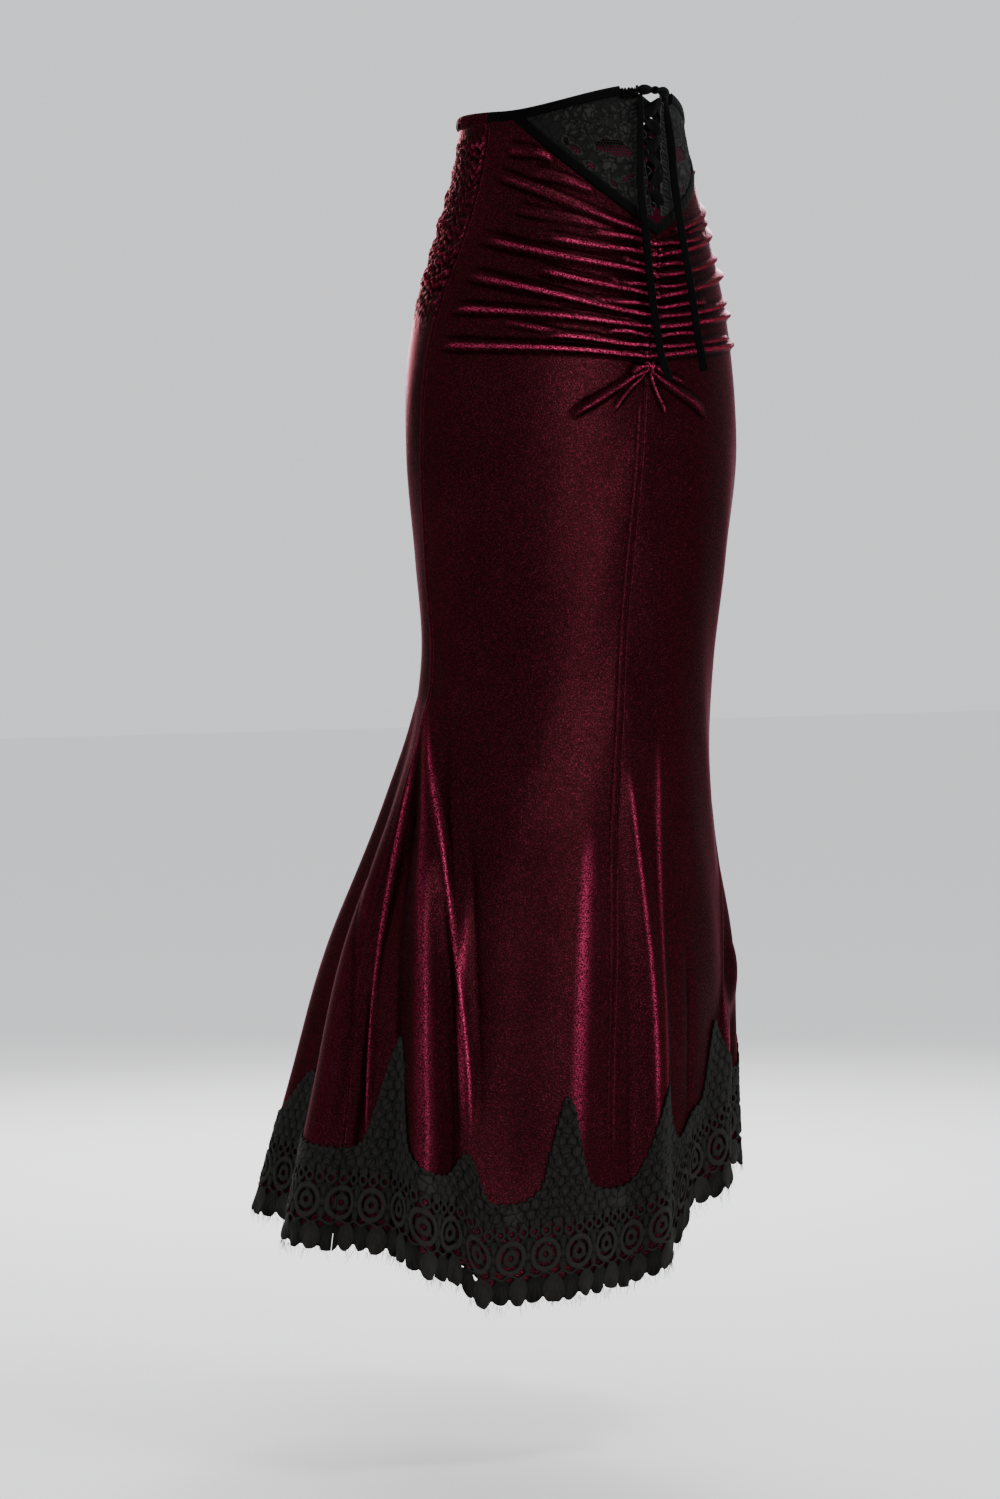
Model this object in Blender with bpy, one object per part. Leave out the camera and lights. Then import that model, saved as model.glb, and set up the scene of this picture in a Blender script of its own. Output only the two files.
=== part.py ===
"""Mermaid fishtail skirt in stretch velvet with a laced yoke and a deep lace hem.

Frame: metres, +Z up, the front faces -Y and the wearer's right is -X. The origin is the centre of the
waist. A place on the skirt is given by its angle round the body and its height. The angle is 0 degrees
on the centre front seam, +90 at the wearer's right, -90 at the wearer's left and 180 at the centre back.
"""
import math

import bmesh
import bpy
import numpy as np

# Walls and seams
VELVET = 0.0014
LACE = 0.0011
SEAM_GAP = 0.0004
LAY_GAP = 0.00035
SAME_SHARE = 0.003      # two points of neighbouring rows this close along them count as opposite
INSIDE_SHARE = 0.70     # how far the inside of the wall follows the folds of its outside

# Cut lines
SIDE = 88.0             # angle of the side seams
BACK = 180.0
KNEE = -0.540           # height where the skirt is narrowest and the flare begins
LEDGE = -0.246          # height of the knot that ends the gathers on the centre front seam
YOKE_TIP = -0.124       # height of the point of the yoke on the centre front seam
BINDING = 0.009         # width of the waist binding
BIAS_BINDING = 0.0088   # width of the bindings that edge the yoke
CASING = 0.012          # width of the casing at the back of the waist
YOKE_CORNER = 69.0      # angle where the yoke runs out under the waist binding
YOKE_CORNER_HEIGHT = -0.028

# Sections of the body form. The turn swings a section about its own centre.
# height, half width, front depth, back depth, centre x, centre y, turn in degrees
SECTIONS = (
    (0.030, 0.117, 0.092, 0.088, 0.000, 0.000, -14.0),
    (0.000, 0.117, 0.092, 0.088, 0.000, 0.000, -13.0),
    (-0.060, 0.121, 0.097, 0.094, 0.004, 0.000, -9.0),
    (-0.120, 0.134, 0.108, 0.110, 0.005, 0.000, -5.0),
    (-0.180, 0.150, 0.118, 0.122, 0.003, 0.000, 0.0),
    (-0.240, 0.159, 0.121, 0.128, 0.002, 0.000, 4.0),
    (-0.320, 0.161, 0.121, 0.122, 0.003, 0.000, 7.0),
    (-0.420, 0.150, 0.116, 0.114, 0.003, 0.002, 10.0),
    (-0.510, 0.140, 0.111, 0.110, 0.000, 0.003, 11.0),
    (-0.570, 0.142, 0.111, 0.120, -0.003, 0.006, 10.5),
    (-0.640, 0.152, 0.112, 0.143, -0.007, 0.011, 10.0),
    (-0.780, 0.180, 0.114, 0.198, -0.014, 0.020, 8.0),
    (-0.940, 0.192, 0.117, 0.254, -0.022, 0.030, 6.0),
    (-1.100, 0.206, 0.121, 0.300, -0.029, 0.036, 4.0),
)

# Flutes of the flare, each a soft roll that starts at a gore's point near the knee and opens downwards.
# angle at the hem, angle at its start, height of the roll, spread to the front, spread to the back, start
FLUTES = (
    (5.0, 3.0, 0.006, 15.0, 15.0, -0.66),
    (51.0, 84.0, 0.034, 10.0, 13.0, -0.545),
    (97.0, 90.0, 0.034, 14.0, 16.0, -0.540),
    (127.0, 110.0, 0.032, 12.0, 13.0, -0.545),
    (153.0, 172.0, 0.034, 12.0, 13.0, -0.545),
    (180.0, 180.0, 0.036, 13.0, 13.0, -0.540),
    (-153.0, -172.0, 0.033, 13.0, 12.0, -0.550),
    (-127.0, -110.0, 0.031, 13.0, 12.0, -0.545),
    (-101.0, -92.0, 0.030, 13.0, 12.0, -0.545),
    (-76.0, -88.0, 0.030, 12.0, 12.0, -0.620),
    (-50.0, -80.0, 0.026, 12.0, 9.0, -0.780),
    (-19.0, -4.0, 0.019, 9.0, 9.0, -0.600),
)
FLUTE_FOOT = -1.07      # height where a roll has its full size
FLUTE_OPEN = 2.4        # how fast a roll leaves its gore's point

# Lower edge of the lace hem: angle, height
HEM = (
    (-180.0, -1.012), (-140.0, -1.000), (-100.0, -0.992), (-60.0, -0.990), (-40.0, -1.016),
    (-26.0, -1.058), (-8.0, -1.080), (12.0, -1.086), (31.0, -1.090), (43.0, -1.064),
    (60.0, -1.042), (85.0, -1.042), (112.0, -1.036), (145.0, -1.024), (180.0, -1.012),
)
# Peaks of the lace hem: angle, height of the peak over the lower edge
PEAKS = (
    (-180.0, 0.168), (-148.0, 0.166), (-116.0, 0.162), (-84.0, 0.160), (-52.0, 0.152), (-21.5, 0.166),
    (10.5, 0.184), (38.5, 0.120), (64.5, 0.196), (117.0, 0.142), (148.0, 0.166), (180.0, 0.168),
)
LACE_DEPTH = 0.092      # depth of the lace hem between two peaks
LACE_PEAK_SPREAD = 0.62
FLARE_COLUMNS = 13      # columns of a panel's flare over the lace
VELVET_SHORT = 0.015    # the velvet ends this far over the lower edge of the lace
LACE_COLUMNS = (0.0, 0.07, 0.15, 0.27, 0.42, 0.58, 0.73, 0.85, 0.93)
LACE_ROWS = 3
PETALS = 6              # petals of the lower edge in one repeat
PETAL_DEPTH = 0.009
FRINGE_STRIP = 0.0016
FRINGE_LENGTH = 0.008
STRAND = 0.0016         # width of a strand at its root

# Gathers of the front panels. A fold runs from its outer end to its inner end near the centre front.
# outer angle, outer height, inner angle, inner height, height of the fold, half width
FOLDS_RIGHT = (
    (76.0, -0.052, 52.0, -0.062, 0.0028, 0.0060),
    (62.0, -0.074, 32.0, -0.090, 0.0026, 0.0055),
    (86.0, -0.071, 8.0, -0.126, 0.0030, 0.0055),
    (70.0, -0.104, 22.0, -0.126, 0.0022, 0.0050),
    (32.0, -0.126, 1.0, -0.138, 0.0036, 0.0045),
    (52.0, -0.132, 1.0, -0.148, 0.0034, 0.0045),
    (16.0, -0.154, 0.0, -0.157, 0.0030, 0.0038),
    (84.0, -0.131, 0.0, -0.166, 0.0044, 0.0055),
    (20.0, -0.172, 0.0, -0.176, 0.0034, 0.0038),
    (52.0, -0.160, 0.0, -0.185, 0.0040, 0.0045),
    (26.0, -0.188, 0.0, -0.194, 0.0034, 0.0038),
    (86.0, -0.163, 0.0, -0.203, 0.0048, 0.0056),
    (87.0, -0.194, 0.0, -0.212, 0.0040, 0.0048),
    (18.0, -0.216, 0.0, -0.220, 0.0034, 0.0038),
    (42.0, -0.221, 0.0, -0.229, 0.0038, 0.0042),
    (88.0, -0.226, 0.0, -0.239, 0.0048, 0.0052),
    (27.0, -0.294, 1.0, -0.251, 0.0044, 0.0060),
    (12.0, -0.288, 1.0, -0.254, 0.0024, 0.0045),
    (7.0, -0.252, 0.0, -0.248, 0.0050, 0.0065),
)
FOLDS_LEFT = (
    (80.0, -0.048, 50.0, -0.064, 0.0028, 0.0060),
    (84.0, -0.078, 14.0, -0.122, 0.0034, 0.0055),
    (58.0, -0.104, 20.0, -0.124, 0.0024, 0.0050),
    (40.0, -0.124, 1.0, -0.138, 0.0036, 0.0045),
    (86.0, -0.106, 0.0, -0.148, 0.0044, 0.0055),
    (18.0, -0.153, 0.0, -0.157, 0.0030, 0.0038),
    (60.0, -0.140, 0.0, -0.167, 0.0038, 0.0048),
    (22.0, -0.171, 0.0, -0.176, 0.0034, 0.0038),
    (87.0, -0.144, 0.0, -0.186, 0.0048, 0.0056),
    (30.0, -0.187, 0.0, -0.195, 0.0036, 0.0040),
    (66.0, -0.180, 0.0, -0.204, 0.0040, 0.0048),
    (87.0, -0.188, 0.0, -0.213, 0.0046, 0.0052),
    (24.0, -0.215, 0.0, -0.221, 0.0034, 0.0038),
    (54.0, -0.218, 0.0, -0.230, 0.0038, 0.0045),
    (88.0, -0.214, 0.0, -0.239, 0.0046, 0.0054),
    (29.0, -0.292, 1.0, -0.251, 0.0040, 0.0060),
    (9.0, -0.292, 1.0, -0.254, 0.0024, 0.0045),
    (7.0, -0.252, 0.0, -0.248, 0.0050, 0.0065),
)
FOLD_FULLNESS = 1.2     # all the folds are this much fuller than their table heights
GATHER_ROWS = 50
GATHER_COLUMNS = (0.0, 0.05, 0.12, 0.21, 0.33, 0.47, 0.63, 0.81, 1.0)
UPPER_SHARE = 0.24      # share of the gather rows that run into the yoke's binding
SIDE_SPLIT = 0.20       # share of the side seam that those rows take

# Shirring of the back panels
SHIRR_TOP = -0.040
SHIRR_FOOT = -0.215
SHIRR_WRINKLES = 8
SHIRR_HEIGHT = 0.0026
SHIRR_ROWS = 24

# Lacing
LACED_TOP = 0.006
LACED_FOOT = -0.111
GAP_TOP = 9.5           # half of the laced gap at the waist, in degrees
GAP_FOOT = 3.2
TAPE = 1.5              # width of the loop tape, in degrees
LOOP_REACH = 1.2
TAB_ROOT = 0.0042       # half height of a loop tab at the tape and at its tip
TAB_TIP = 0.0030
LOOPS = 7
FIRST_LOOP = -0.006
LOOP_STEP = 0.0162
RIBBON = 0.0045
RIBBON_WALL = 0.0010
TURN_ROOM = 1.2         # room for the ribbon's turn beside the tape, in degrees
GAP_RADIUS = 0.125      # a degree across the laced gap is this radius times a degree

# Free ends of the lacing ribbon
END_WIDTH = 0.006
END_SIDES = 1
END_SPACING = 0.014

WINE = (0.115, 0.006, 0.020)
BLACK = (0.010, 0.010, 0.011)
LACE_BLACK = (0.016, 0.018, 0.017)


def sections_at(heights):
    """Smooth values of SECTIONS at each height: a cubic through the rows with averaged slopes."""
    table = np.array(SECTIONS)[::-1]
    levels = table[:, 0]
    values = table[:, 1:]
    slopes = np.gradient(values, levels, axis=0)
    index = np.clip(np.searchsorted(levels, heights) - 1, 0, len(levels) - 2)
    span = (levels[index + 1] - levels[index])[..., None]
    s = np.clip((heights[..., None] - levels[index][..., None]) / span, 0.0, 1.0)
    start = (2 * s**3 - 3 * s**2 + 1) * values[index] + (s**3 - 2 * s**2 + s) * span * slopes[index]
    end = (3 * s**2 - 2 * s**3) * values[index + 1] + (s**3 - s**2) * span * slopes[index + 1]
    return start + end


def flute_height(angles, heights):
    """How far the rolls of the flare stand out from the section at each place."""
    total = np.zeros(angles.shape)
    for foot, head, size, front, back, start in FLUTES:
        fall = np.clip((start - heights) / (start - FLUTE_FOOT), 0.0, 1.1)
        opened = 1.0 - (1.0 - np.minimum(fall, 1.0)) ** FLUTE_OPEN
        middle = head + (foot - head) * opened
        away = (angles - middle + 180.0) % 360.0 - 180.0
        spread = np.where(away * np.sign(foot) < 0.0, front, back)
        near = np.clip(np.abs(away) / spread, 0.0, 1.0)
        total += size * fall**0.8 * 0.5 * (1.0 + np.cos(np.pi * near))
    return total


def body(angles, heights):
    """Points of the velvet's outside without its gathers: a turned oval with the flutes added."""
    angles, heights = np.broadcast_arrays(np.asarray(angles, float), np.asarray(heights, float))
    half, front, back, shift_x, shift_y, turn = np.moveaxis(sections_at(heights), -1, 0)
    radians = np.radians(angles)
    depth = np.where(np.cos(radians) > 0.0, front, back)
    x = -half * np.sin(radians)
    y = -depth * np.cos(radians)
    slant_x = x / half**2
    slant_y = y / depth**2
    length = np.hypot(slant_x, slant_y)
    out = flute_height(angles, heights)
    x = x + out * slant_x / length
    y = y + out * slant_y / length
    turn = np.radians(turn)
    turned_x = x * np.cos(turn) + y * np.sin(turn)
    turned_y = y * np.cos(turn) - x * np.sin(turn)
    return np.stack([shift_x + turned_x, shift_y + turned_y, heights], axis=-1)


def outward(angles, heights):
    """Unit vectors that point out of the body form."""
    round_step = body(np.add(angles, 0.3), heights) - body(np.subtract(angles, 0.3), heights)
    up_step = body(angles, np.add(heights, 0.001)) - body(angles, np.subtract(heights, 0.001))
    normal = np.cross(up_step, round_step)
    return normal / np.linalg.norm(normal, axis=-1, keepdims=True)


def lifted(angles, heights, lift):
    """Points that lie lift over the body form."""
    return body(angles, heights) + outward(angles, heights) * np.asarray(lift)[..., None]


def smooth(value):
    """Ease from 0 to 1."""
    value = np.clip(value, 0.0, 1.0)
    return value * value * (3.0 - 2.0 * value)


def eased_table(table, angles):
    """Values of a two-column table at each angle, eased between its rows."""
    keys = np.array(table)[:, 0]
    values = np.array(table)[:, 1]
    wrapped = (np.asarray(angles, float) + 180.0) % 360.0 - 180.0
    index = np.clip(np.searchsorted(keys, wrapped, side="right") - 1, 0, len(keys) - 2)
    share = smooth((wrapped - keys[index]) / (keys[index + 1] - keys[index]))
    return values[index] + (values[index + 1] - values[index]) * share


def waist_line(angles):
    """Height of the top edge: a little higher at the centre front than at the sides and back."""
    return -0.020 + 0.028 * (1.0 - smooth(np.abs(angles) / 80.0))


def bias_line(angles):
    """Height of the middle of the binding that edges the yoke."""
    return YOKE_TIP + (YOKE_CORNER_HEIGHT - YOKE_TIP) * np.abs(angles) / YOKE_CORNER


def bias_half():
    """Half of the yoke binding's width, measured straight up."""
    slope = (YOKE_CORNER_HEIGHT - YOKE_TIP) / math.radians(YOKE_CORNER) / 0.112
    return 0.5 * BIAS_BINDING * math.hypot(1.0, slope)


def under_binding(offset):
    """Angle where a line that runs offset over the yoke binding's middle meets the waist binding."""
    angles = np.linspace(50.0, SIDE, 761)
    room = waist_line(angles) - BINDING - SEAM_GAP - bias_line(angles) - offset
    return float(angles[np.argmax(room < 0.0)])


def gap_edge(heights):
    """Angle of the yoke's laced edge."""
    share = (np.asarray(heights) - LACED_FOOT) / (LACED_TOP - LACED_FOOT)
    return GAP_FOOT + (GAP_TOP - GAP_FOOT) * share


def seam_shift(height):
    """Angle that half of a seam's gap takes up at a height."""
    width = sections_at(np.array([height]))[0, 1]
    return math.degrees(0.5 * SEAM_GAP / width)


def fold_relief(angles, heights, folds):
    """Height of the gathers: the highest of the folds at each place, each fading at its outer end."""
    relief = np.zeros(np.shape(angles))
    for outer, outer_height, inner, inner_height, size, half in folds:
        along = (angles - inner) / (outer - inner)
        line = inner_height + (outer_height - inner_height) * along
        across = np.clip(np.abs(heights - line) / (half * (1.0 + 0.5 * np.clip(along, 0, 1))), 0.0, 1.0)
        ends = smooth((1.0 - along) / 0.35) * smooth((along + 0.10) / 0.10)
        relief = np.maximum(relief, FOLD_FULLNESS * size * ends * 0.5 * (1.0 + np.cos(np.pi * across)))
    return relief


def shirr_relief(angles, heights):
    """Height of the back's wrinkles, which wander a little and fade at the shirring's ends."""
    share = (SHIRR_TOP - heights) / (SHIRR_TOP - SHIRR_FOOT)
    wander = 0.10 * np.sin(angles * 0.11) + 0.05 * np.sin(angles * 0.29 + 1.0)
    wave = np.sin(np.pi * SHIRR_WRINKLES * (share + wander * share * (1.0 - share))) ** 2
    size = 0.65 + 0.35 * np.sin(angles * 0.083 + share * 9.0)
    return SHIRR_HEIGHT * wave * size * smooth(share / 0.1) * smooth((1.0 - share) / 0.25)


def zip_faces(upper, lower, upper_share, lower_share):
    """Triangles between two rows of points, which may have different counts."""
    faces = []
    i = 0
    j = 0
    while i < len(upper) - 1 or j < len(lower) - 1:
        take_upper = j == len(lower) - 1
        if i < len(upper) - 1 and j < len(lower) - 1:
            take_upper = upper_share[i + 1] <= lower_share[j + 1] + SAME_SHARE
        if take_upper:
            faces.append((upper[i], upper[i + 1], lower[j]))
            i += 1
        else:
            faces.append((upper[i], lower[j + 1], lower[j]))
            j += 1
    return faces


def rim_faces(near, far):
    """Triangles between the two edges of a wall."""
    faces = []
    for k in range(len(near) - 1):
        faces.append((near[k], near[k + 1], far[k + 1]))
        faces.append((near[k], far[k + 1], far[k]))
    return faces


def material(name, colour, roughness):
    """A plain cloth material."""
    made = bpy.data.materials.new(name)
    made.use_nodes = True
    shader = made.node_tree.nodes["Principled BSDF"]
    shader.inputs["Base Color"].default_value = (*colour, 1.0)
    shader.inputs["Roughness"].default_value = roughness
    shader.inputs["Metallic"].default_value = 0.0
    made.diffuse_color = (*colour, 1.0)
    return made


def solid(name, points, faces, colour, roughness):
    """One closed body with its faces pointing out."""
    mesh = bpy.data.meshes.new(name)
    mesh.from_pydata([tuple(point) for point in points], [], faces)
    work = bmesh.new()
    work.from_mesh(mesh)
    bmesh.ops.recalc_face_normals(work, faces=work.faces)
    if work.calc_volume(signed=True) < 0.0:
        bmesh.ops.reverse_faces(work, faces=work.faces)
    work.to_mesh(mesh)
    work.free()
    mesh.shade_smooth()
    mesh.set_sharp_from_angle(angle=math.radians(50.0))
    mesh.materials.append(material(name, colour, roughness))
    made = bpy.data.objects.new(name, mesh)
    bpy.context.scene.collection.objects.link(made)
    return made


def wall(name, rows, inside, outside, colour, roughness, windows=()):
    """A closed wall through rows of (angle, height, relief) points.

    The inner face lies inside from the body form and the outer face lies outside from it, both raised by
    the relief. A window is (row, column, size): a hole in that cell, in the planes of its two triangles.
    """
    points = []
    faces = []
    numbers = []
    for lift, share in ((outside, 1.0), (inside, INSIDE_SHARE)):
        layer = []
        for row in rows:
            angle, height, relief = row.T
            placed = lifted(angle, height, lift + share * relief)
            layer.append(list(range(len(points), len(points) + len(placed))))
            points.extend(placed)
        numbers.append(layer)
    shares = []
    for row in rows:
        angle = row[:, 0]
        shares.append((angle - angle[0]) / (angle[-1] - angle[0]))
    holes = {(r, c): size for r, c, size in windows}
    frames = {}
    for side, layer in enumerate(numbers):
        for r in range(len(rows) - 1):
            upper = layer[r]
            lower = layer[r + 1]
            made = zip_faces(upper, lower, shares[r], shares[r + 1])
            cut = [c for c in range(len(upper) - 1) if (r, c) in holes]
            for c in cut:
                corners = (upper[c], upper[c + 1], lower[c + 1], lower[c])
                made = [face for face in made if not set(face) <= set(corners)]
                middle = 0.5 * (points[corners[1]] + points[corners[3]])
                inner = []
                for corner in corners:
                    inner.append(len(points))
                    points.append(middle + holes[(r, c)] * (points[corner] - middle))
                for k in range(4):
                    n = (k + 1) % 4
                    made.append((corners[k], corners[n], inner[n]))
                    made.append((corners[k], inner[n], inner[k]))
                frames.setdefault((r, c), []).append(inner + inner[:1])
            faces.extend(made if side == 0 else [face[::-1] for face in made])
    for outer_frame, inner_frame in frames.values():
        faces.extend(rim_faces(outer_frame, inner_frame))
    outer_layer, inner_layer = numbers
    for end in (0, -1):
        faces.extend(rim_faces(outer_layer[end], inner_layer[end]))
        faces.extend(rim_faces([row[end] for row in outer_layer], [row[end] for row in inner_layer]))
    return solid(name, points, faces, colour, roughness)


def plate(name, angles, heights, triangles, inside, outside, colour, roughness):
    """A flat piece on the body form: two layers of the same triangles, joined along their free edges."""
    count = len(angles)
    layers = [lifted(np.array(angles), np.array(heights), np.full(count, lift)) for lift in (outside, inside)]
    faces = list(triangles)
    faces.extend(tuple(corner + count for corner in face[::-1]) for face in triangles)
    uses = {}
    for face in triangles:
        for k in range(3):
            edge = tuple(sorted((face[k], face[(k + 1) % 3])))
            uses[edge] = uses.get(edge, 0) + 1
    for (a, b), times in uses.items():
        if times == 1:
            faces.extend(rim_faces((a, b), (a + count, b + count)))
    return solid(name, np.concatenate(layers), faces, colour, roughness)


def row_of(angles, heights, relief=0.0):
    """One row of a wall."""
    angles, heights, relief = np.broadcast_arrays(angles, heights, relief)
    return np.stack([angles, heights, relief], axis=-1).astype(float)


def trimmed(row):
    """The row with both ends drawn in by half of a seam's gap."""
    row = row.copy()
    row[0, 0] += seam_shift(row[0, 1])
    row[-1, 0] -= seam_shift(row[-1, 1])
    return row


def placed_rows(rows, side):
    """The rows on one side of the skirt, each from its lowest to its highest angle."""
    if side > 0:
        return rows
    return [row[::-1] * (-1.0, 1.0, 1.0) for row in rows]


# Hem lace: where its columns stand and how high its edges are


def peak_share(angles):
    """The repeat that each angle is in, and its share of the way through the repeat."""
    keys = np.array(PEAKS)[:, 0]
    wrapped = (np.asarray(angles, float) + 180.0) % 360.0 - 180.0
    index = np.clip(np.searchsorted(keys, wrapped, side="right") - 1, 0, len(keys) - 2)
    return index, (wrapped - keys[index]) / (keys[index + 1] - keys[index])


def lace_top(angles):
    """Height of the lace's upper edge: round bays between narrow peaks."""
    index, share = peak_share(angles)
    sizes = np.array(PEAKS)[:, 1] - LACE_DEPTH
    nearest = np.where(share < 0.5, index, index + 1)
    away = 2.0 * np.minimum(share, 1.0 - share)
    rise = (0.5 * (1.0 + np.cos(np.pi * np.clip(away / LACE_PEAK_SPREAD, 0.0, 1.0)))) ** 1.2
    return eased_table(HEM, angles) + LACE_DEPTH + sizes[nearest] * rise


def petal_edge(angles):
    """Height of the lace's lower edge: a row of round petals."""
    share = (peak_share(angles)[1] * PETALS) % 1.0
    return eased_table(HEM, angles) + PETAL_DEPTH * np.abs(2.0 * share - 1.0) ** 2.2


def repeat_angles(shares):
    """Angles of the same shares of each repeat, right round the hem."""
    keys = np.array(PEAKS)[:, 0]
    angles = []
    for start, end in zip(keys[:-1], keys[1:]):
        angles.extend(start + (end - start) * share for share in shares)
    return np.array(angles + [keys[-1]])


def between(angles, first, last):
    """The angles from first to last, with those two as the ends and no slivers beside them."""
    round_back = np.concatenate([angles, angles + 360.0])
    kept = round_back[(round_back > first + 1.2) & (round_back < last - 1.2)]
    return np.unique(np.concatenate([[first], kept, [last]]).round(4))


def hem_rows(first, last):
    """The velvet's rows from the lace's upper edge to its own hem."""
    angles = between(repeat_angles(LACE_COLUMNS), first, last)
    upper = lace_top(angles)
    lower = eased_table(HEM, angles) + VELVET_SHORT
    return [row_of(angles, upper + (lower - upper) * k / LACE_ROWS) for k in range(LACE_ROWS + 1)]


def flare_rows(first, last):
    """The velvet's rows from the knee to the hem, the same heights on both sides of a seam."""
    rows = []
    coarse = np.linspace(first, last, FLARE_COLUMNS + 1)
    for share in (0.0, 0.13, 0.30, 0.50, 0.74, 1.0):
        foot = eased_table(HEM, coarse) + 0.212
        rows.append(row_of(coarse, KNEE + (foot - KNEE) * share))
    fine = between(repeat_angles(LACE_COLUMNS), first, last)
    foot = eased_table(HEM, fine) + 0.212
    rows.append(row_of(fine, 0.5 * (foot + lace_top(fine))))
    return rows + hem_rows(first, last)


def build_front_panel(name, side, folds):
    """A front panel: gathered from the yoke to the knot, smooth over the thigh, fluted below the knee."""
    rows = []
    shares = np.array(GATHER_COLUMNS)
    corner = under_binding(-bias_half() - SEAM_GAP) + 0.3
    top = waist_line(SIDE) - BINDING - SEAM_GAP
    for k in range(GATHER_ROWS + 1):
        level = k / GATHER_ROWS
        above = np.clip(1.0 - level / UPPER_SHARE, 0.0, 1.0)
        below = np.clip((level - UPPER_SHARE) / (1.0 - UPPER_SHARE), 0.0, 1.0)
        start = corner * above
        start_height = bias_line(start) - bias_half() - SEAM_GAP
        start_height += (LEDGE - start_height) * below
        side_level = level / UPPER_SHARE * SIDE_SPLIT if below == 0.0 else SIDE_SPLIT + (1 - SIDE_SPLIT) * below
        side_height = top + (-0.232 - top) * side_level
        angles = start + (SIDE - start) * shares
        heights = start_height + (side_height - start_height) * shares
        heights = np.minimum(heights, waist_line(angles) - BINDING - SEAM_GAP)
        clear = smooth((bias_line(angles) - bias_half() - heights) / 0.007)
        relief = fold_relief(angles, heights, folds) * clear * smooth((top + 0.002 - heights) / 0.008)
        rows.append(row_of(angles, heights, relief))
    angles = np.linspace(0.0, SIDE, 9)
    for share in (0.16, 0.33, 0.52, 0.76):
        heights = LEDGE + (KNEE - LEDGE) * share + 0.014 * (1.0 - share) * angles / SIDE
        rows.append(row_of(angles, heights, fold_relief(angles, heights, folds)))
    flare = flare_rows(*sorted((0.0, side * SIDE)))
    rows = [trimmed(row) for row in placed_rows(rows, side) + flare]
    return wall(name, rows, -VELVET, 0.0, WINE, 0.75)


def build_back_panel(name, side):
    """A back panel: shirred from the casing to the hip, smooth behind the thigh, fluted below the knee."""
    rows = []
    top = waist_line(SIDE) - CASING - SEAM_GAP
    angles = np.linspace(SIDE, BACK, 7)
    for k in range(SHIRR_ROWS + 1):
        heights = np.full(angles.shape, top + (-0.232 - top) * k / SHIRR_ROWS)
        rows.append(row_of(angles, heights, shirr_relief(angles * side, heights)))
    angles = np.linspace(SIDE, BACK, 9)
    for share in (0.16, 0.33, 0.52, 0.76):
        height = LEDGE + (KNEE - LEDGE) * share + 0.014 * (1.0 - share)
        rows.append(row_of(angles, height))
    flare = flare_rows(*sorted((side * SIDE, side * BACK)))
    rows = [trimmed(row) for row in placed_rows(rows, side) + flare]
    return wall(name, rows, -VELVET, 0.0, WINE, 0.75)


def build_yoke(name, side):
    """A lace yoke panel: a triangle between the waist binding, the bias binding and the laced edge."""
    rows = []
    reach = under_binding(bias_half() + SEAM_GAP) - 0.8
    for k in range(10):
        share = (k / 9.0) ** 0.9
        high = gap_edge(0.0) + (reach - gap_edge(0.0)) * share + 0.1
        low = gap_edge(LACED_FOOT) + (reach - gap_edge(LACED_FOOT)) * share + 0.1
        high_z = waist_line(high) - BINDING - SEAM_GAP
        low_z = bias_line(low) + bias_half() + SEAM_GAP
        count = max(2, int(round((high_z - low_z) / 0.016)) + 1)
        steps = np.linspace(0.0, 1.0, count)
        rows.append((side * (high + (low - high) * steps), high_z + (low_z - high_z) * steps))
    return upright_wall(name, rows, -0.0012, 0.0, LACE_BLACK, 0.85)


def upright_wall(name, columns, inside, outside, colour, roughness):
    """A wall whose rows run from top to bottom, zipped by their share of the way down."""
    points = []
    faces = []
    layers = []
    for lift in (outside, inside):
        layer = []
        for angles, heights in columns:
            placed = lifted(angles, heights, np.full(len(angles), lift))
            layer.append(list(range(len(points), len(points) + len(placed))))
            points.extend(placed)
        layers.append(layer)
    for side, layer in enumerate(layers):
        for left, right in zip(layer[:-1], layer[1:]):
            steps = (np.linspace(0, 1, len(left)), np.linspace(0, 1, len(right)))
            made = zip_faces(left, right, *steps)
            faces.extend(made if side == 0 else [face[::-1] for face in made])
    outer_layer, inner_layer = layers
    for end in (0, -1):
        faces.extend(rim_faces(outer_layer[end], inner_layer[end]))
        faces.extend(rim_faces([row[end] for row in outer_layer], [row[end] for row in inner_layer]))
    return solid(name, points, faces, colour, roughness)


def build_bias_binding(name, side):
    """The binding between the yoke's lace and the velvet, cut off under the waist binding."""
    rows = []
    for offset in (bias_half(), -bias_half()):
        angles = np.linspace(seam_shift(YOKE_TIP), under_binding(offset) - 0.1, 14)
        rows.append(row_of(side * angles, bias_line(angles) + offset))
    return wall(name, rows, -0.0014, 0.0010, BLACK, 0.6)


def build_waist_binding(name, side):
    """The binding along the top edge, from the laced edge to the side seam."""
    angles = np.linspace(GAP_TOP + 0.2, SIDE - 0.1, 18)
    top = waist_line(angles)
    rows = [row_of(side * angles, top), row_of(side * angles, top - BINDING)]
    return wall(name, rows, -0.0018, 0.0012, BLACK, 0.6)


def build_back_casing(name):
    """The velvet casing along the back of the waist, slightly padded by its elastic."""
    angles = np.linspace(SIDE + 0.1, 360.0 - SIDE - 0.1, 25)
    top = waist_line(SIDE)
    rows = []
    for share, swell in ((0.0, 0.0), (0.3, 0.0010), (0.7, 0.0010), (1.0, 0.0)):
        rows.append(row_of(angles, top - CASING * share, swell))
    return wall(name, rows, -0.0016, 0.0004, WINE, 0.75)


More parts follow.
